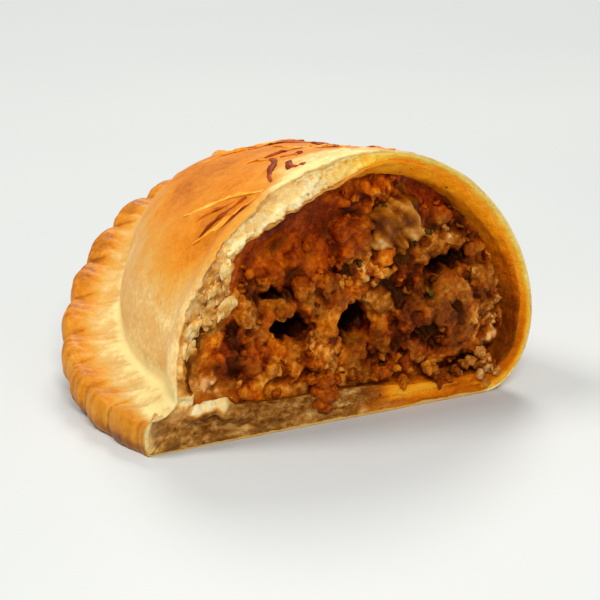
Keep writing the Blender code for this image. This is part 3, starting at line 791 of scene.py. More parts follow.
class CutFace:
    """The torn face of the dough at the cut: a grid of points from the skin (0) to the cavity (1)."""

    def __init__(self, steps):
        start = Slice(0.0)
        outer = start.outer_ring(steps)
        inner = start.inner_ring(steps)
        self.broken = edge_break(outer)
        toward = inner - outer
        self.wide = np.linalg.norm(toward, axis=1)
        outer = outer + toward / (self.wide[:, None] + 1e-9) * FACE_INSET
        self.along = np.append(0.0, np.cumsum(np.linalg.norm(np.diff(outer, axis=0), axis=1)))
        rim_at, _, dome_at, _ = zone_starts(steps)
        order = np.arange(len(outer))
        self.bottom = (order < rim_at).astype(float)
        self.tongue = ((order >= rim_at) & (order < dome_at)).astype(float)
        self.grid = np.repeat(np.linspace(0, 1, TORN_ROWS)[:, None], len(outer), 1)
        share = self.grid[:, :, None]
        self.points = outer * (1 - share) + inner * share
        x, z = self.points[:, :, 0], self.points[:, :, 2]
        self.right = smooth((x + 0.038) / 0.014) * (1 - self.bottom)
        self.flap = bell(x, *FLAP_ACROSS) * bell(z, *FLAP_UP)
        self.tear()

    def tear(self):
        """Break the face back into plates and crumb, layer the base and raise the sill."""
        grid, right, flap, bottom, tongue = self.grid, self.right, self.flap, self.bottom, self.tongue
        points = self.points.copy()
        x, y, z = (points[:, :, axis] for axis in range(3))
        # Plates of dough that broke off at different depths, crumb on them, and layers in the base
        plates = grain(np.stack((x / 0.0030, y, z / 0.0030), -1) + grid[:, :, None] * 1.2, 1.0, 1.0)
        plates = smooth((plates + 0.08) * 4.0)
        crumb = grain(points, 0.00095, 4.0)
        fine = grain(points, 0.00045, 7.0)
        layers = grain(np.stack((x / 0.0050, y, z / 0.0007), -1), 1.0, 6.0)
        # Sheets of the dough run along the wall and each broke off at its own depth
        run = np.broadcast_to(self.along, grid.shape) / 0.0030
        sheets = grain(np.stack((run, grid * self.wide / 0.00060, np.zeros(grid.shape)), -1), 1.0, 13.0)
        depth = 0.00012 + 0.00075 * plates + 0.00028 * (crumb + 0.6) + 0.00014 * (fine + 0.5)
        depth = depth + 0.00025 * sheets + flap * (0.0013 * plates + 0.0012 * sheets + 0.0008 * crumb)
        depth = depth + 0.00028 * smooth((z - 0.022) / 0.008) * (1 + 1.2 * crumb + fine)
        depth = depth * (1 - 0.88 * right) + 0.0016 * right * grid ** 1.6
        base_depth = 0.00030 + 0.00030 * layers + 0.00022 * crumb + 0.0001 * fine
        depth = depth * (1 - bottom) + np.clip(base_depth, 0.00005, 1) * bottom
        middle = 0.25 + 0.75 * np.sin(np.pi * grid) ** 0.35
        depth = depth * (1 - 0.45 * tongue) * middle + 0.0008 * tongue * bell(grid, 0.5, 0.22)
        depth = depth + self.broken * (1 - smooth(grid * 1.25))
        depth = np.clip(depth + 0.0007 * smooth((grid - 0.82) / 0.18) ** 2 * (1 - right), 0.00004, 0.0048)
        depth[0] = self.broken + 0.00008
        # A crumbly sill of paler dough stands on the base at the lower left
        lumpy = grain(points, 0.0021, 14.0)
        self.sill_run = smooth(bell(x, *SILL) * 2.0 - 0.5 + 0.5 * lumpy) * bottom
        sill = self.sill_run * smooth((grid - 0.64 + 0.20 * lumpy) / 0.12)
        points[:, :, 1] = depth - sill * (0.0012 + 0.0007 * lumpy + 0.0003 * crumb)
        points[:, :, 2] += sill * smooth((grid - 0.70) / 0.3) * (0.0008 + 0.0007 * lumpy)
        self.points, self.depth, self.layers, self.sheets, self.lumpy = points, depth, layers, sheets, lumpy

    def colour(self):
        """Stain and painted shade of the face, where fat soaked in, and where flakes cling.

        Cream at the left and top of the cut, yellow to orange round the fold, brown inside.
        Painted shade darkens its pits, the gaps between flakes and its lower left; the sill's crest holds a
        painted highlight.
        """
        grid, right, flap, bottom, tongue = self.grid, self.right, self.flap, self.bottom, self.tongue
        x, z = self.points[:, :, 0], self.points[:, :, 2]
        above = smooth((z - 0.022) / 0.008) * (1 - right)
        below = (1 - smooth((z - 0.020) / 0.008)) * (1 - right)
        low = 1 - smooth((z - 0.0125) / 0.004)
        crest = right * smooth((z - 0.022) / 0.010)
        foot = right * (1 - smooth((z - 0.006) / 0.016))
        stain_and_shade = right * (0.02 + 0.17 * smooth((grid - 0.16) / 0.32) + 0.12 * smooth((grid - 0.60) / 0.40))
        stain_and_shade = stain_and_shade + (0.15 + 0.25 * smooth((grid - 0.10) / 0.30)) * foot - 0.05 * crest * (1 - grid)
        # Browner toward the cavity at the top, and on the flap painted shade for the gaps between its flakes
        stain_and_shade = stain_and_shade + above * (0.04 * grid + 0.30 * smooth((grid - 0.82) / 0.18)) + 0.16 * flap * grid
        # Below mid height the face browns inward where sauce soaked it, and at the lower left it is darker
        # still with painted shade for the shaded wall behind it
        deeper = 0.10 + 0.16 * smooth((grid - 0.30) / 0.5) + 0.30 * low * smooth((grid - 0.12) / 0.4)
        stain_and_shade = stain_and_shade + below * deeper * (1 - 0.8 * tongue)
        # Painted shade: the deeper the face broke back, the darker it is painted
        pitted = np.clip((self.depth - 0.0010) / 0.0014, 0, 1)
        stain_and_shade = stain_and_shade + (0.30 - 0.22 * above) * pitted * (1 - right) + 0.10 * flap * self.sheets
        # Only the sill's crest is pale, paler dough with a painted highlight on top, and the paleness runs
        # on to the crimp's own lip
        pale_crest_and_highlight = self.sill_run * smooth((grid - 0.77 + 0.16 * self.lumpy) / 0.09)
        pale_crest_and_highlight = np.maximum(pale_crest_and_highlight, smooth(1.7 * bell(x, -0.0614, 0.0017) * bell(z, 0.0073, 0.0010) - 0.2))
        stain_and_shade = stain_and_shade * (1 - pale_crest_and_highlight) + 0.05 * pale_crest_and_highlight
        # Painted shade on the inner part of the face low down
        inner_low_shade = smooth((grid - 0.60) / 0.25) * (1 - smooth((z - 0.0165) / 0.004))
        stain_and_shade = stain_and_shade + 0.30 * inner_low_shade * (1 - right) * (1 - bottom) * (1 - tongue) * (1 - pale_crest_and_highlight)
        # Fat soaked the base up to a pale patch, and from there on the base is orange
        far = smooth((x + 0.036) / 0.016)
        above_foot = smooth((z - 0.0010) / 0.001)
        oiled = bottom * (1 - far) * (0.85 + 0.15 * self.layers)
        oiled = oiled * (1 - 0.85 * bell(x, -0.0235, 0.0045) * smooth((z - 0.0012) / 0.001))
        lip = tongue * smooth((0.0072 - z) / 0.003) * smooth((grid - 0.08) / 0.14)
        oiled = (oiled + 0.80 * lip) * (1 - pale_crest_and_highlight)
        stain_and_shade = stain_and_shade + (0.20 * bottom + 0.10 * tongue + 0.20 * bottom * far) * (1 - pale_crest_and_highlight)
        stain_and_shade = stain_and_shade + (0.56 + 0.10 * self.layers - stain_and_shade) * bottom * far
        patch = smooth(bell(x, -0.0220, 0.0060) * 1.6 - 0.3) * bottom * above_foot
        stain_and_shade = stain_and_shade * (1 - patch) + 0.29 * patch
        flaky = np.clip(flap * 1.5 - 0.25, 0, 1) * smooth((grid - 0.22) / 0.12) * (1 - bottom) * (1 - tongue)
        flaky *= 1 - smooth((grid - 0.62) / 0.2) * (1 - smooth((z - 0.0170) / 0.004))
        return stain_and_shade, oiled, flaky


def build_cut_dough(finish):
    """The torn face of the dough at the cut and the wall behind it, stained and painted darker with shade
    deeper in.
    """
    face = CutFace(CUT_STEPS)
    stain_and_shade, oiled, flaky = face.colour()
    order = np.arange(1, WALL_ROWS + 1)[:, None]
    wall = np.array([Slice(WALL_END * way ** 1.5).inner_ring(CUT_STEPS) for way in order[:, 0] / WALL_ROWS])
    wall[:, :, 1] += face.depth[-1] * np.exp(-order / 4)
    lumps = grain(wall, 0.0024, 6.0)
    tiny = grain(wall, 0.0008, 3.0)
    wall = wall - ring_normals(wall) * ((0.00032 * lumps + 0.00014 * tiny) * smooth(order / 5))[:, :, None]
    # Rings inside the dough close the skin behind the face
    back = []
    for s in (Slice(t) for t in BACK_SLICES):
        ring = s.inner_ring(CUT_STEPS) * 0.6 + s.outer_ring(CUT_STEPS) * 0.4
        ring[:, 1] = np.maximum(ring[:, 1], BACK_DEPTH)
        back.append(ring)
    mesh = closed_mesh(np.concatenate((face.points, wall, back)))

    # Deeper behind the cut the wall is painted darker: sauce soaked in, and painted shade in the cavity
    deeper_soak_and_shade = smooth(order / WALL_ROWS * 1.1)
    wall_low = (1 - smooth((wall[:, :, 2] - 0.016) / 0.012)) * smooth((wall[:, :, 0] + 0.040) / 0.012)
    wall_stain_and_shade = np.clip(stain_and_shade[-1] * (1 - deeper_soak_and_shade) + deeper_soak_and_shade * 0.58 + 0.06 * lumps + 0.20 * wall_low, 0, 1)
    none = np.zeros((WALL_ROWS + len(back), wall.shape[1]))
    mark(mesh, "stain_and_shade", np.clip(np.concatenate((stain_and_shade, wall_stain_and_shade, none[:len(back)] + 0.5)), 0, 1))
    mark(mesh, "oiled", np.clip(np.concatenate((oiled, none)), 0, 1))
    mark(mesh, "golden", smooth((coordinates(mesh)[:, 0] - SHIFT[0] + 0.040) / 0.012))
    mark(mesh, "meaty", np.concatenate((flaky, none)))
    mark(mesh, "room", np.ones(len(mesh.vertices)))
    add_piece("cut_dough", mesh, finish=finish)
    return mesh


# Geometry Nodes trees
def open_tree(name, inputs):
    """A tree with its named inputs; returns it and their sockets."""
    tree = bpy.data.node_groups.new(name, "GeometryNodeTree")
    face = tree.interface
    for label, kind in {"Geometry": "Geometry", **inputs, "Finish": "Material"}.items():
        face.new_socket(label, in_out="INPUT", socket_type="NodeSocket" + kind)
    face.new_socket("Geometry", in_out="OUTPUT", socket_type="NodeSocketGeometry")
    return tree, add(tree, "NodeGroupInput").node.outputs


def close_tree(tree, given, shape, detail):
    """Make the shape real, push it about by noise and dress it."""
    real = add(tree, "GeometryNodeRealizeInstances", {0: shape})
    where = add(tree, "GeometryNodeInputPosition")
    wave = add(tree, "ShaderNodeTexNoise", {"Vector": where, "Scale": given["Push per metre"],
                                            "Detail": detail}, out="Color")
    wave = add(tree, "ShaderNodeVectorMath", {0: wave, 1: (0.5, 0.5, 0.5)}, operation="SUBTRACT")
    wave = add(tree, "ShaderNodeVectorMath", {0: wave, "Scale": given["Push"]}, operation="SCALE")
    moved = add(tree, "GeometryNodeSetPosition", {"Geometry": real, "Offset": wave})
    dressed = add(tree, "GeometryNodeSetMaterial", {"Geometry": moved, "Material": given["Finish"]})
    add(tree, "NodeGroupOutput", {0: dressed})
    return tree


def strand_tree():
    """Turns each spine into a flattened strand that tapers at its ends."""
    tree, given = open_tree("strands", {"Flatness": "Float", "Push": "Float", "Push per metre": "Float"})
    spine = add(tree, "GeometryNodeMeshToCurve", {"Mesh": given["Geometry"]})
    facing = add(tree, "GeometryNodeInputNamedAttribute", {"Name": "out"}, "Attribute",
                 data_type="FLOAT_VECTOR")
    turned = add(tree, "GeometryNodeSetCurveNormal", {"Curve": spine, "Normal": facing}, mode="FREE")
    thick = add(tree, "GeometryNodeInputNamedAttribute", {"Name": "thick"}, "Attribute", data_type="FLOAT")
    sized = add(tree, "GeometryNodeSetCurveRadius", {"Curve": turned, "Radius": thick})
    profile = add(tree, "GeometryNodeCurvePrimitiveCircle", {"Resolution": 10, "Radius": 1.0})
    scale = add(tree, "ShaderNodeCombineXYZ", {0: given["Flatness"], 1: 1.0, 2: 1.0})
    profile = add(tree, "GeometryNodeTransform", {"Geometry": profile, "Scale": scale})
    solid = add(tree, "GeometryNodeCurveToMesh", {"Curve": sized, "Profile Curve": profile, "Scale": thick,
                                                  "Fill Caps": True})
    return close_tree(tree, given, solid, 2.0)


# The lump tree's inputs, and their values for each kind of lump
LUMP_INPUTS = {
    "Lumps per square metre": "Float", "Smallest": "Float", "Largest": "Float", "Flatness": "Float",
    "Length": "Float", "Lean": "Float", "Spin": "Float", "Tilt": "Float", "Push": "Float",
    "Push per metre": "Float", "Fineness": "Int", "Seed": "Int"}
ANY_WAY = math.pi
LUMPS = {
    "heap": (300000.0, 0.00070, 0.00210, 1.00, 1.0, 0.0, ANY_WAY, ANY_WAY, 0.0038, 520.0, 3, 2),
    "mince_grains": (210000.0, 0.00035, 0.00100, 1.00, 1.0, 0.0, ANY_WAY, ANY_WAY, 0.0019, 1800.0, 2, 7),
    "spilled_mince": (900000.0, 0.00040, 0.00110, 1.00, 1.0, 0.0, ANY_WAY, ANY_WAY, 0.0022, 1100.0, 3, 5),
    "basil_flecks": (14000.0, 0.00035, 0.00070, 0.40, 1.0, 0.0, ANY_WAY, 1.00, 0.0016, 1500.0, 2, 3),
    "pastry_flakes": (1900000.0, 0.00030, 0.00075, 0.30, 2.0, 0.5, 0.4, 0.35, 0.0008, 900.0, 3, 11),
}


def lump_tree():
    """Scatters lumps over a face, each a ball pushed out of shape by noise."""
    tree, given = open_tree("mince_lumps", LUMP_INPUTS)
    meaty = add(tree, "GeometryNodeInputNamedAttribute", {"Name": "meaty"}, "Attribute", data_type="FLOAT")
    dense = add(tree, "ShaderNodeMath", {0: given["Lumps per square metre"], 1: meaty}, operation="MULTIPLY")
    spots = add(tree, "GeometryNodeDistributePointsOnFaces", {
        "Mesh": given["Geometry"], "Density": dense, "Seed": given["Seed"]},
        "Points", distribute_method="RANDOM")
    ball = add(tree, "GeometryNodeMeshIcoSphere", {"Radius": 1.0, "Subdivisions": given["Fineness"]})
    size = add(tree, "FunctionNodeRandomValue", {2: given["Smallest"], 3: given["Largest"],
                                                 "Seed": given["Seed"]}, 1, data_type="FLOAT")
    # No two lumps are of one shape; the mark "room" keeps them small where they would pass the dough
    stretch = add(tree, "FunctionNodeRandomValue", {0: (0.65, 0.65, 0.65), 1: (1.3, 1.3, 1.3), "Seed": 4},
                  data_type="FLOAT_VECTOR")
    squash = add(tree, "ShaderNodeCombineXYZ", {0: 1.0, 1: given["Flatness"], 2: given["Length"]})
    scale = add(tree, "ShaderNodeVectorMath", {0: stretch, 1: squash}, operation="MULTIPLY")
    room = add(tree, "GeometryNodeInputNamedAttribute", {"Name": "room"}, "Attribute", data_type="FLOAT")
    for factor in (size, room):
        scale = add(tree, "ShaderNodeVectorMath", {0: scale, "Scale": factor}, operation="SCALE")
    one_way = add(tree, "ShaderNodeCombineXYZ", {0: given["Tilt"], 1: given["Spin"], 2: given["Tilt"]})
    other_way = add(tree, "ShaderNodeVectorMath", {0: one_way, "Scale": -1.0}, operation="SCALE")
    turn = add(tree, "FunctionNodeRandomValue", {0: other_way, 1: one_way, "Seed": 9},
               data_type="FLOAT_VECTOR")
    lean = add(tree, "ShaderNodeCombineXYZ", {0: 0.0, 1: given["Lean"], 2: 0.0})
    turn = add(tree, "ShaderNodeVectorMath", {0: turn, 1: lean}, operation="ADD")
    lumps = add(tree, "GeometryNodeInstanceOnPoints", {
        "Points": spots, "Instance": ball, "Rotation": turn, "Scale": scale})
    tone = add(tree, "FunctionNodeRandomValue", {2: 0.0, 3: 1.0, "Seed": 12}, 1, data_type="FLOAT")
    toned = add(tree, "GeometryNodeStoreNamedAttribute", {"Geometry": lumps, "Name": "tone", "Value": tone},
                data_type="FLOAT", domain="INSTANCE")
    return close_tree(tree, given, toned, 3.0)


def lumps_on(kind, base, tree, finish, forward=0.0, front=None):
    """Lumps of one kind on a base and their points, moved forward and none of them past front."""
    made = grow(base, tree, {**dict(zip(LUMP_INPUTS, LUMPS[kind])), "Finish": finish})
    spots = coordinates(made)
    if front is not None:
        spots[:, 1] = np.maximum(spots[:, 1] - forward, SHIFT[1] + front)
        move(made, spots)
    return made, spots


def taken_tones(mesh):
    """The lumps' own tones, taken off the mesh so that mixed ones can be marked on it."""
    tones = np.empty(len(mesh.vertices), np.float32)
    mesh.attributes["tone"].data.foreach_get("value", tones)
    mesh.attributes.remove(mesh.attributes["tone"])
    return tones


# Cheese shreds
# Shreds near the cut: start and end as (t, share of the dome), bow, half width in mm, bake
SHREDS = (
    (0.275, 0.268, 0.094, 0.365, 0.012, 0.42, 0.20),
    (0.228, 0.262, 0.152, 0.332, -0.006, 0.38, 0.62),
    (0.158, 0.246, 0.128, 0.340, 0.012, 0.50, 0.92),
    (0.112, 0.276, 0.058, 0.350, 0.006, 0.46, 0.86),
    (0.160, 0.228, 0.108, 0.304, 0.004, 0.38, 0.32),
    (0.136, 0.262, 0.078, 0.352, -0.006, 0.36, 0.26),
    (0.480, 0.445, 0.468, 0.502, 0.004, 0.52, 0.78),
    (0.470, 0.488, 0.525, 0.572, 0.004, 0.60, 0.84),
    (0.305, 0.434, 0.328, 0.506, 0.005, 0.60, 0.86),
    (0.302, 0.450, 0.112, 0.378, 0.008, 0.56, 0.94),
    (0.190, 0.437, 0.080, 0.436, -0.004, 0.58, 0.96),
    (0.302, 0.520, 0.220, 0.553, 0.005, 0.46, 0.80),
    (0.155, 0.560, 0.050, 0.597, 0.005, 0.44, 0.50),
    (0.265, 0.454, 0.236, 0.488, 0.002, 0.54, 0.80),
    (0.345, 0.404, 0.262, 0.452, 0.006, 0.44, 0.40),
)
SPARE_SHREDS = 12
SHRED_STEPS = 22


def spare_shreds():
    """Shreds over the rest of the top, where they fell at random."""
    draw = random.Random(14)
    for _ in range(SPARE_SHREDS):
        t = draw.uniform(0.28, 0.60)
        share = min(draw.gauss(0.60, 0.13), 0.70)
        heading = draw.uniform(0, math.pi)
        reach = draw.uniform(0.8, 1.3)
        dt = 0.075 * reach * math.cos(heading)
        ds = 0.085 * reach * math.sin(heading)
        bow = draw.uniform(-0.03, 0.03)
        yield t - dt, share - ds, t + dt, share + ds, bow, 0.45, 0.35 + 0.5 * (share > 0.55)


def dome_frame(rings, t, share):
    """Point and outward direction on the finished dome at (t, share)."""
    row = (OUTER_END - t) / OUTER_END * (SKIN_RINGS - 1)
    row = min(max(row, 1.0), SKIN_RINGS - 2.001)
    column = zone_starts(SKIN_STEPS)[2] + share * SKIN_STEPS[3]
    i, j = int(row), int(column)
    u, v = row - i, column - j
    point = ((rings[i, j] * (1 - v) + rings[i, j + 1] * v) * (1 - u)
             + (rings[i + 1, j] * (1 - v) + rings[i + 1, j + 1] * v) * u)
    out = np.cross(rings[i + 1, j] - rings[i, j], rings[i, j + 1] - rings[i, j])
    out /= np.linalg.norm(out)
    if out[2] < 0 and point[2] > 0.02:
        out = -out
    return point, out


def build_shreds(rings, finish):
    points, edges, outs, thick, bake = [], [], [], [], []
    draw = random.Random(3)
    for t0, s0, t1, s1, bow, half, tone in (*SHREDS, *spare_shreds()):
        wander, turn = draw.uniform(0.002, 0.006), draw.uniform(0, 6)
        edges += [(len(points) + i, len(points) + i + 1) for i in range(SHRED_STEPS)]
        for way in (i / SHRED_STEPS for i in range(SHRED_STEPS + 1)):
            side = bow * math.sin(math.pi * way) + wander * math.sin(way * 9 + turn)
            point, out = dome_frame(rings, max(t0 + (t1 - t0) * way, 0.004), s0 + (s1 - s0) * way + side)
            points.append(point + out * (0.00005 + 0.00010 * math.sin(way * 7 + turn)) + SHIFT)
            outs.append(out)
            size = half / 1000 * (0.25 + 0.75 * max(0.0, math.sin(math.pi * way)) ** 0.6)
            thick.append(size * (1 + 0.22 * math.sin(way * 17 + turn)))
            bake.append(tone + 0.10 * math.sin(way * 6 + turn))
    mesh = mesh_of(points, edges=edges)
    layer = mesh.attributes.new("out", "FLOAT_VECTOR", "POINT")
    layer.data.foreach_set("vector", np.array(outs, np.float32).ravel())
    mark(mesh, "thick", thick)
    mark(mesh, "bake", bake)
    made = grow(mesh, strand_tree(), {
        "Flatness": 0.40, "Push": 0.0004, "Push per metre": 900.0, "Finish": finish})
    add_piece("cheese_shreds", outward(made))


# Filling
CHUNK_AT = np.array([0.0456 - WIDTH, 0.0058, 0.0285])
CHUNK_HALF = np.array([0.0046, 0.0036, 0.0062])
HEAP_BACK = 0.0135
HEAP_VOXEL = 0.00036
# How near a lump a point of the fused heap lies to take its tone
LUMP_REACH = 0.0008

# Hollows in the face of the filling: along from the crimp, height, spreads, slope, depth
HOLLOWS = (
    (0.0270, 0.0149, 0.0038, 0.0018, 0.05, 0.0070),
    (0.0382, 0.0142, 0.0034, 0.0034, 0.30, 0.0085),
    (0.0552, 0.0217, 0.0056, 0.0009, 0.12, 0.0050),
    (0.0235, 0.0203, 0.0030, 0.0010, -0.10, 0.0034),
)
# Mounds and dips of the face: along, height, spreads, fall
MOUNDS = (
    (0.0235, 0.0270, 0.0080, 0.0060, 0.0012),
    (0.0540, 0.0150, 0.0080, 0.0070, -0.0016),
    (0.0320, 0.0215, 0.0050, 0.0040, -0.0012),
    (0.0290, 0.0105, 0.0110, 0.0035, -0.0014),
    (0.0440, 0.0110, 0.0040, 0.0050, 0.0014),
    (0.0160, 0.0110, 0.0040, 0.0030, -0.0008),
    (0.0456, 0.0280, 0.0044, 0.0056, 0.0024),
)
# Browner and paler clumps of the mince: along, height, spreads, change of tone
CLUMP_TONES = (
    (0.0540, 0.0190, 0.0080, 0.0080, -0.19),
    (0.0205, 0.0146, 0.0040, 0.0030, 0.13),
    (0.0362, 0.0335, 0.0040, 0.0030, 0.07),
    (0.0470, 0.0125, 0.0080, 0.0040, -0.20),
    (0.0524, 0.0085, 0.0050, 0.0036, -0.22),
    (0.0475, 0.0212, 0.0032, 0.0030, -0.16),
    (0.0395, 0.0298, 0.0046, 0.0040, -0.20),
    (0.0328, 0.0270, 0.0030, 0.0024, -0.12),
    (0.0418, 0.0238, 0.0036, 0.0034, 0.22),
    (0.0238, 0.0182, 0.0060, 0.0026, -0.26),
    (0.0343, 0.0130, 0.0030, 0.0020, -0.18),
    (0.0147, 0.0112, 0.0030, 0.0040, -0.28),
    (0.0122, 0.0086, 0.0036, 0.0016, 0.45),
    (0.0570, 0.0150, 0.0036, 0.0044, 0.14),
    (0.0630, 0.0150, 0.0030, 0.0044, 0.16),
    (0.0600, 0.0110, 0.0040, 0.0040, 0.10),
    (0.0520, 0.0325, 0.0080, 0.0034, 0.10),
)
# Where the mince holds more or less sauce: along, height, spreads, change
SAUCE_PATCHES = (
    (0.0200, 0.0100, 0.0100, 0.0060, 0.35),
    (0.0540, 0.0160, 0.0100, 0.0090, -0.30),
    (0.0122, 0.0086, 0.0040, 0.0020, -0.50),
)
# Sauce and mince that ran over the base of the cut: along, height, spreads
SPILLS = (
    (0.0317, 0.0032, 0.0013, 0.0020),
    (0.0305, 0.0052, 0.0026, 0.0010),
    (0.0330, 0.0067, 0.0170, 0.0006),
    (0.0530, 0.0045, 0.0075, 0.0018),
    (0.0610, 0.0042, 0.0030, 0.0026),
    (0.0410, 0.0056, 0.0030, 0.0010),
)
SPILL_COLUMNS, SPILL_ROWS = 120, 14
SPILL_ALONG = (0.0200, 0.0655)
SPILL_UP = (0.0006, 0.0072)


def patched(value, rows, along, up):
    """A value with each row's change added near its place on the cut face."""
    for *place, change in rows:
        value = value + change * near(along, up, *place)
    return value


def hollow(form, along, up, margin=0.0):
    """1 in the middle of a hollow, 0 well outside it; the edge is ragged."""
    a, z, wide, high, rise, _ = form
    ragged = 0.0008 * np.sin(along * 2300 + up * 900) + 0.0005 * np.sin(along * 4700 - up * 2600)
    above = up - z - rise * (along - a) + 0.6 * ragged
    away = ((along - a + ragged) / (wide + margin)) ** 2 + (above / (high + margin)) ** 2
    return np.exp(-away ** 2)


def face_relief(along, up):
    """Depth of the filling's face behind the cut: clumps 6 mm and 3 mm across, mounds and hollows."""
    spots = np.column_stack((along, np.full_like(along, 0.5), up))
    depth = 0.0029 + 0.0011 * grain(spots, 0.0060, 21.0) + 0.0006 * grain(spots, 0.0030, 22.0)
    depth = patched(depth, MOUNDS, along, up)
    for form in HOLLOWS:
        depth = depth + form[-1] * hollow(form, along, up)
    return np.maximum(depth, 0.0009)


def sauce_cover(local):
    """Where thick tomato sauce smooths the mince: the upper left of the face and below the roof."""
    along, up = local[:, 0] + WIDTH, local[:, 2]
    cover = bell(along, 0.0265, 0.0120) * bell(up, 0.0290, 0.0068)
    cover = np.maximum(cover, 0.9 * bell(along, 0.0530, 0.0080) * bell(up, 0.0335, 0.0036))
    return np.clip(cover * 1.7 - 0.25 + 0.30 * grain(local, 0.0050, 45.0), 0, 1)


def inside_outline(points, outline):
    """1 where a flat point lies inside a closed outline, else 0."""
    result = np.zeros(len(points), bool)
    x, y = points[:, 0], points[:, 1]
    for (px, py), (qx, qy) in zip(outline, np.roll(outline, -1, axis=0)):
        if py != qy:
            result ^= ((py > y) != (qy > y)) & (x < px + (qx - px) * (y - py) / (qy - py))
    return result.astype(float)


def filling_slab():
    """The filling's face and a slab behind it, marked with where lumps stand and their room."""
    start = Slice(0.0)
    a, z = start.inside(FACE_STEPS, -0.0003)
    rim = start.place(a, z)
    rim[:, 1] = 0.0012 + 0.0026 * smooth(a / WIDTH * 1.7 - 0.6) + 0.0016 * smooth(z / HEIGHT * 2 - 0.9)
    middle = rim.mean(axis=0)
    rings = []
    for share in (0.25, 0.6, 0.9, 0.98):
        ring = middle + (rim - middle) * share
        ring[:, 1] = HEAP_BACK if share < 0.95 else rim[:, 1] + 0.0030
        rings.append(ring)
    for share in (1 - k / FACE_ROWS for k in range(FACE_ROWS)):
        ring = middle + (rim - middle) * share
        blend = float(smooth((1 - share) * 3.5))
        ring[:, 1] = rim[:, 1] * (1 - blend) + face_relief(ring[:, 0] + WIDTH, ring[:, 2]) * blend
        rings.append(ring)
    back, front = middle.copy(), middle.copy()
    back[1] = HEAP_BACK
    front[1] = rings[-1][:, 1].mean()
    slab = closed_mesh(rings, back, front)

    points = coordinates(slab) - SHIFT
    along, depth, up = points[:, 0] + WIDTH, points[:, 1], points[:, 2]
    meaty = (depth < face_relief(along, up) + 0.0012) * (1 - 0.92 * sauce_cover(points))
    for form in HOLLOWS:
        meaty *= 1 - smooth(hollow(form, along, up, 0.0008) * 6)
    on_base = (up > 0.0066) & (up < 0.0110) & (along > 0.0150) & (along < 0.0580) & (depth < 0.004)
    reach = start.inner_ring(FACE_STEPS, 0.0022)
    meaty *= np.maximum(inside_outline(points[:, [0, 2]], reach[:, [0, 2]]), on_base)
    beside = np.hypot((points[:, 0] - CHUNK_AT[0]) / 0.0047, (up - CHUNK_AT[2]) / 0.0062)
    mark(slab, "meaty", meaty * smooth((beside - 0.80) / 0.3))
    flat = np.array([1.0, 0.0, 1.0])
    wall = search_tree(np.concatenate([Slice(t).inner_ring(FACE_STEPS) * flat for t in (0.0, 0.06)]))
    gap = np.array([wall.find(spot)[2] for spot in points * flat])
    mark(slab, "room", np.clip(gap / 0.0042, np.where(on_base, 0.55, 0.28), 1.0))
    return slab


def joined(meshes):
    """One mesh of several, with no fusing."""
    faces, start = [], 0
    for mesh in meshes:
        faces += [[v + start for v in p.vertices] for p in mesh.polygons]
        start += len(mesh.vertices)
    return mesh_of(np.concatenate([coordinates(mesh) for mesh in meshes]), faces)


def build_filling(slab, tree, finish):
    """The fused heap of mince: lumps on the slab, grained where no thick sauce covers it."""
    lumps, lump_spots = lumps_on("heap", slab, tree, finish)
    tones = taken_tones(lumps)
    body = applied(joined([slab, lumps]), "REMESH", {"mode": "VOXEL", "voxel_size": HEAP_VOXEL})
    spots = coordinates(body)
    out = coordinates(body, "normal")
    # Grains of the mince, 2.4 and 1.1 mm, with crevices between them
    warped = spots + 0.0009 * np.column_stack([grain(spots, 0.0016, seed) for seed in (31.0, 32.0, 33.0)])
    push = 0.00025 - 0.00085 * cells(warped, 0.0024, 3.0) ** 2 - 0.00030 * cells(warped, 0.0011, 8.0) ** 2
    coated = sauce_cover(spots - SHIFT)
    push = push * (1 - 0.9 * coated) + 0.00010 * grain(spots, 0.0007, 5.0) * (1 - coated)
    push = push + coated * (0.00020 + 0.00035 * grain(spots, 0.0032, 6.0))
    spots = spots + out * push[:, None]
    spots[:, 1] = np.maximum(spots[:, 1], SHIFT[1] + 0.0002)
    move(body, spots)
    # Each point keeps the tone of the lump that it came from
    nearby = search_tree(lump_spots)
    tone = np.full(len(spots), 0.35)
    for index, spot in enumerate(spots):
        _, nearest, distance = nearby.find(spot)
        if distance < LUMP_REACH:
            tone[index] = tones[nearest]
    colour_filling(body, spots - SHIFT, tone)
    body.materials.clear()
    add_piece("meatball_filling", body, ("filling",), finish)


def prominence(local, cell=0.0004, reach=4):
    """How far each point stands out of its surroundings, from a map of the face's mean depth."""
    column = ((local[:, 0] + WIDTH) / cell).astype(int) + reach + 1
    row = (local[:, 2] / cell).astype(int) + reach + 1
    size = (row.max() + reach + 2, column.max() + reach + 2)
    total, count = np.zeros(size), np.zeros(size)
    np.add.at(total, (row, column), local[:, 1])
    np.add.at(count, (row, column), 1.0)
    for axis in (0, 1, 0, 1):
        total = sum(np.roll(total, k, axis) for k in range(-reach, reach + 1))
        count = sum(np.roll(count, k, axis) for k in range(-reach, reach + 1))
    mean = total / np.maximum(count, 1e-6)
    return mean[row, column] - local[:, 1]


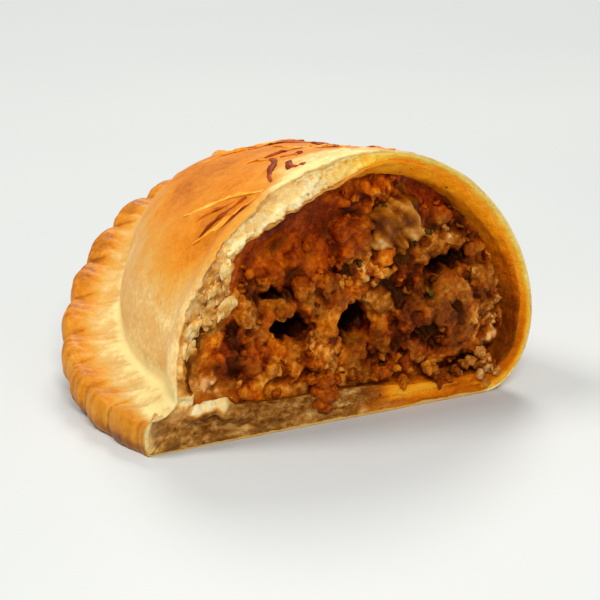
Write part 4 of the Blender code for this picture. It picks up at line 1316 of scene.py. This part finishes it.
def colour_filling(mesh, local, tone):
    """Tones of the mince with painted light on its proud grains, where sauce lies on it, and the painted
    shade of its crevices and hollows.
    """
    along, up, depth = local[:, 0] + WIDTH, local[:, 2], local[:, 1]
    front = depth < face_relief(along, up) + 0.0035
    proud = np.full(len(local), -0.002)
    proud[front] = prominence(local[front])
    cover = sauce_cover(local)
    # Painted light and shade: grains that stand out are painted paler, sunken ones darker
    tone = 0.36 + 0.44 * (tone - 0.5) + 0.30 * np.clip(proud / 0.0006, -1, 1)
    tone = tone + 0.22 * grain(local, 0.0048, 41.0)
    # The thick sauce darkens upward, from orange where it meets the mince to red-brown below the roof, its
    # own red-brown deepened by painted shade under the roof
    thick_tone = 0.46 - 0.28 * smooth((up - 0.0240) / 0.009) + 0.34 * grain(local, 0.0030, 47.0)
    tone = patched(tone * (1 - cover) + thick_tone * cover, CLUMP_TONES, along, up)
    # Painted shade in the crevices between grains and in the hollows
    crevice_shade = 0.80 * smooth((-proud - 0.00015) / 0.0010)
    for form in HOLLOWS:
        pit = smooth(hollow(form, along, up) * 2.0 - 0.4) * smooth((depth - 0.0030) / 0.002)
        crevice_shade = np.maximum(crevice_shade, 0.97 * pit)
    sauce = 0.38 + 0.55 * grain(local, 0.0040, 43.0) + 0.80 * cover + 0.45 * smooth((up - 0.031) / 0.004)
    sauce = patched(sauce, SAUCE_PATCHES, along, up)
    for label, values in (("tone", tone), ("sauce", sauce), ("crevice_shade", crevice_shade)):
        mark(mesh, label, np.clip(values, 0, 1))


def build_loose_mince(slab, tree, finish):
    """Single grains of mince that stand on the fused face."""
    made, spots = lumps_on("mince_grains", slab, tree, finish, 0.0004, 0.0002)
    colour_filling(made, spots - SHIFT, taken_tones(made))
    add_piece("mince_grains", made)


def build_cheese_chunk(finish):
    """A soft lump of melted cheese between the mince and the roof, narrower at the top, bent and leaning."""
    mesh = primitive(bmesh.ops.create_icosphere, subdivisions=5, radius=1.0)
    ball = coordinates(mesh)
    spots = np.sign(ball) * np.abs(ball) ** 0.85 * CHUNK_HALF
    spots[:, 0] = spots[:, 0] * (1 - 0.12 * ball[:, 2]) + 0.0009 * np.sin(ball[:, 2] * 2.6)
    out = ball / np.linalg.norm(ball, axis=1, keepdims=True)
    push = sum(rise * grain(spots, size, seed) for rise, size, seed in (
        (0.0024, 0.0042, 51.0), (0.0010, 0.0018, 52.0), (0.00022, 0.0007, 53.0)))
    # Strings of the cheese run down it
    string = np.column_stack((spots[:, 0] + 0.35 * spots[:, 2], spots[:, 1], 0.25 * spots[:, 2]))
    strings = grain(string, 0.0011, 55.0)
    spots = spots + out * (push + 0.00070 * strings)[:, None] + CHUNK_AT
    spots[:, 0] -= 0.36 * (spots[:, 2] - CHUNK_AT[2])
    spots[:, 1] = np.maximum(spots[:, 1], 0.0008)
    move(mesh, spots + SHIFT)
    # Painted shade darkens the lump toward its outline, where it sinks into the mince
    outline_shade = smooth((np.hypot(ball[:, 0], ball[:, 2]) - 0.45) / 0.5)
    tone = 0.52 + 0.30 * grain(spots, 0.0030, 54.0) - 0.18 * ball[:, 2] + 0.65 * strings
    mark(mesh, "tone", tone + 0.12 * ball[:, 0] - 0.34 * outline_shade)
    add_piece("melted_cheese", mesh, finish=finish)


def build_spill(tree, finish):
    """Grains of mince and a drip of sauce stuck on the cut face of the base."""
    along, up = np.meshgrid(
        np.linspace(*SPILL_ALONG, SPILL_COLUMNS), np.linspace(*SPILL_UP, SPILL_ROWS))
    cover = sum(near(along, up, *place) for place in SPILLS)
    spots = np.stack((along - WIDTH, np.full_like(along, 0.0006), up), -1).reshape(-1, 3)
    index = np.arange(SPILL_COLUMNS * SPILL_ROWS).reshape(SPILL_ROWS, SPILL_COLUMNS)
    faces = np.stack((index[:-1, :-1], index[:-1, 1:], index[1:, 1:], index[1:, :-1]), -1).reshape(-1, 4)
    sheet = mesh_of(spots + SHIFT, faces.tolist())
    mark(sheet, "meaty", np.clip(cover - 0.25, 0, 1))
    mark(sheet, "room", 1 + 0.25 * bell(along, 0.0315, 0.0020))
    made, spots = lumps_on("spilled_mince", sheet, tree, finish, 0.0, -0.0006)
    spots[:, 2] = np.maximum(spots[:, 2], 0.0002)
    move(made, spots)
    tones = taken_tones(made)
    along = spots[:, 0] - SHIFT[0] + WIDTH
    drip = bell(along, 0.0310, 0.0034)
    right = smooth((along - 0.050) / 0.006)
    mark(made, "tone", 0.30 + 0.48 * tones * (1 - drip) + 0.20 * drip + 0.10 * right * (tones > 0.5))
    mark(made, "sauce", np.clip(0.75 + 0.4 * grain(spots, 0.003, 3.0) + 0.3 * drip - 0.50 * right, 0, 1))
    # An even painted shade over the spilled grains
    mark(made, "crevice_shade", np.full(len(spots), 0.15))
    add_piece("spilled_mince", made)


def build_flakes(cut, tree, finish):
    """Flakes of crust that broke off at the lower left of the cut."""
    made, spots = lumps_on("pastry_flakes", cut, tree, finish, 0.0, -0.0003)
    mark(made, "stain_and_shade", np.clip(0.22 + 0.42 * grain(spots, 0.0013, 61.0), 0.10, 1))
    for label in ("oiled", "golden"):
        mark(made, label, np.zeros(len(spots)))
    add_piece("pastry_flakes", made)


# Studio
FLOOR_REACH = 1.6
VIEW_TURN = math.radians(-30.37)
VIEW_RISE = math.radians(16.45)
VIEW_DISTANCE = 0.42
LENS = 158.8
AIM = Vector((0.00478, -0.01130, 0.01305))
# Lamps: turn from the camera and rise in degrees, distance, size, watts, colour
LAMPS = {
    "key": (-86, 54, 0.9, 0.36, 4.5, "#fff6ea"),
    "fill": (8, 40, 1.0, 0.35, 5.8, "#fffaf2"),
    "back": (175, 42, 1.0, 0.4, 4.0, "#fff8ee"),
}
SKY_COLOUR, SKY_STRENGTH = "#f4efe6", 0.34


def face_aim(name, data, turn, rise, distance):
    """Put a camera or lamp round the aim point, turned from the front toward +X, and point it there."""
    item = put_in_scene(name, data)
    away = Vector((math.sin(turn) * math.cos(rise), -math.cos(turn) * math.cos(rise), math.sin(rise)))
    item.location = AIM + distance * away
    item.rotation_euler = (AIM - item.location).to_track_quat("-Z", "Y").to_euler()
    return item


def build_studio():
    board = primitive(bmesh.ops.create_grid, x_segments=8, y_segments=8, size=FLOOR_REACH)
    board.materials.append(matt_pale_board())
    floor = put_in_scene("floor", board)

    lens = bpy.data.cameras.new("camera")
    lens.lens = LENS
    lens.sensor_width = 36.0
    lens.clip_start = 0.01
    bpy.context.scene.camera = face_aim("camera", lens, VIEW_TURN, VIEW_RISE, VIEW_DISTANCE)

    for name, (turn, rise, distance, size, power, colour) in LAMPS.items():
        lamp = bpy.data.lights.new(name, "AREA")
        lamp.shape = "DISK"
        lamp.size = size
        lamp.energy = power
        lamp.color = linear(colour)[:3]
        face_aim(name, lamp, VIEW_TURN + math.radians(turn), math.radians(rise), distance)
    world = bpy.data.worlds.new("studio")
    bpy.context.scene.world = world
    world.use_nodes = True
    sky = world.node_tree.nodes["Background"].inputs
    sky[0].default_value = linear(SKY_COLOUR)
    sky[1].default_value = SKY_STRENGTH
    bpy.context.scene.view_settings.view_transform = "Standard"


def main():
    crumb = torn_crumb()
    mince = sauced_mince()
    rings = build_crust(egg_washed_crust())
    cut = build_cut_dough(crumb)
    build_shreds(rings, browned_parmesan())
    tree = lump_tree()
    slab = filling_slab()
    build_filling(slab, tree, mince)
    build_loose_mince(slab, tree, mince)
    build_cheese_chunk(melted_mozzarella())
    build_spill(tree, mince)
    flecks, _ = lumps_on("basil_flecks", slab, tree, dried_basil(), 0.0010, -0.0003)
    add_piece("basil_flecks", flecks)
    build_flakes(cut, tree, crumb)
    build_studio()


main()
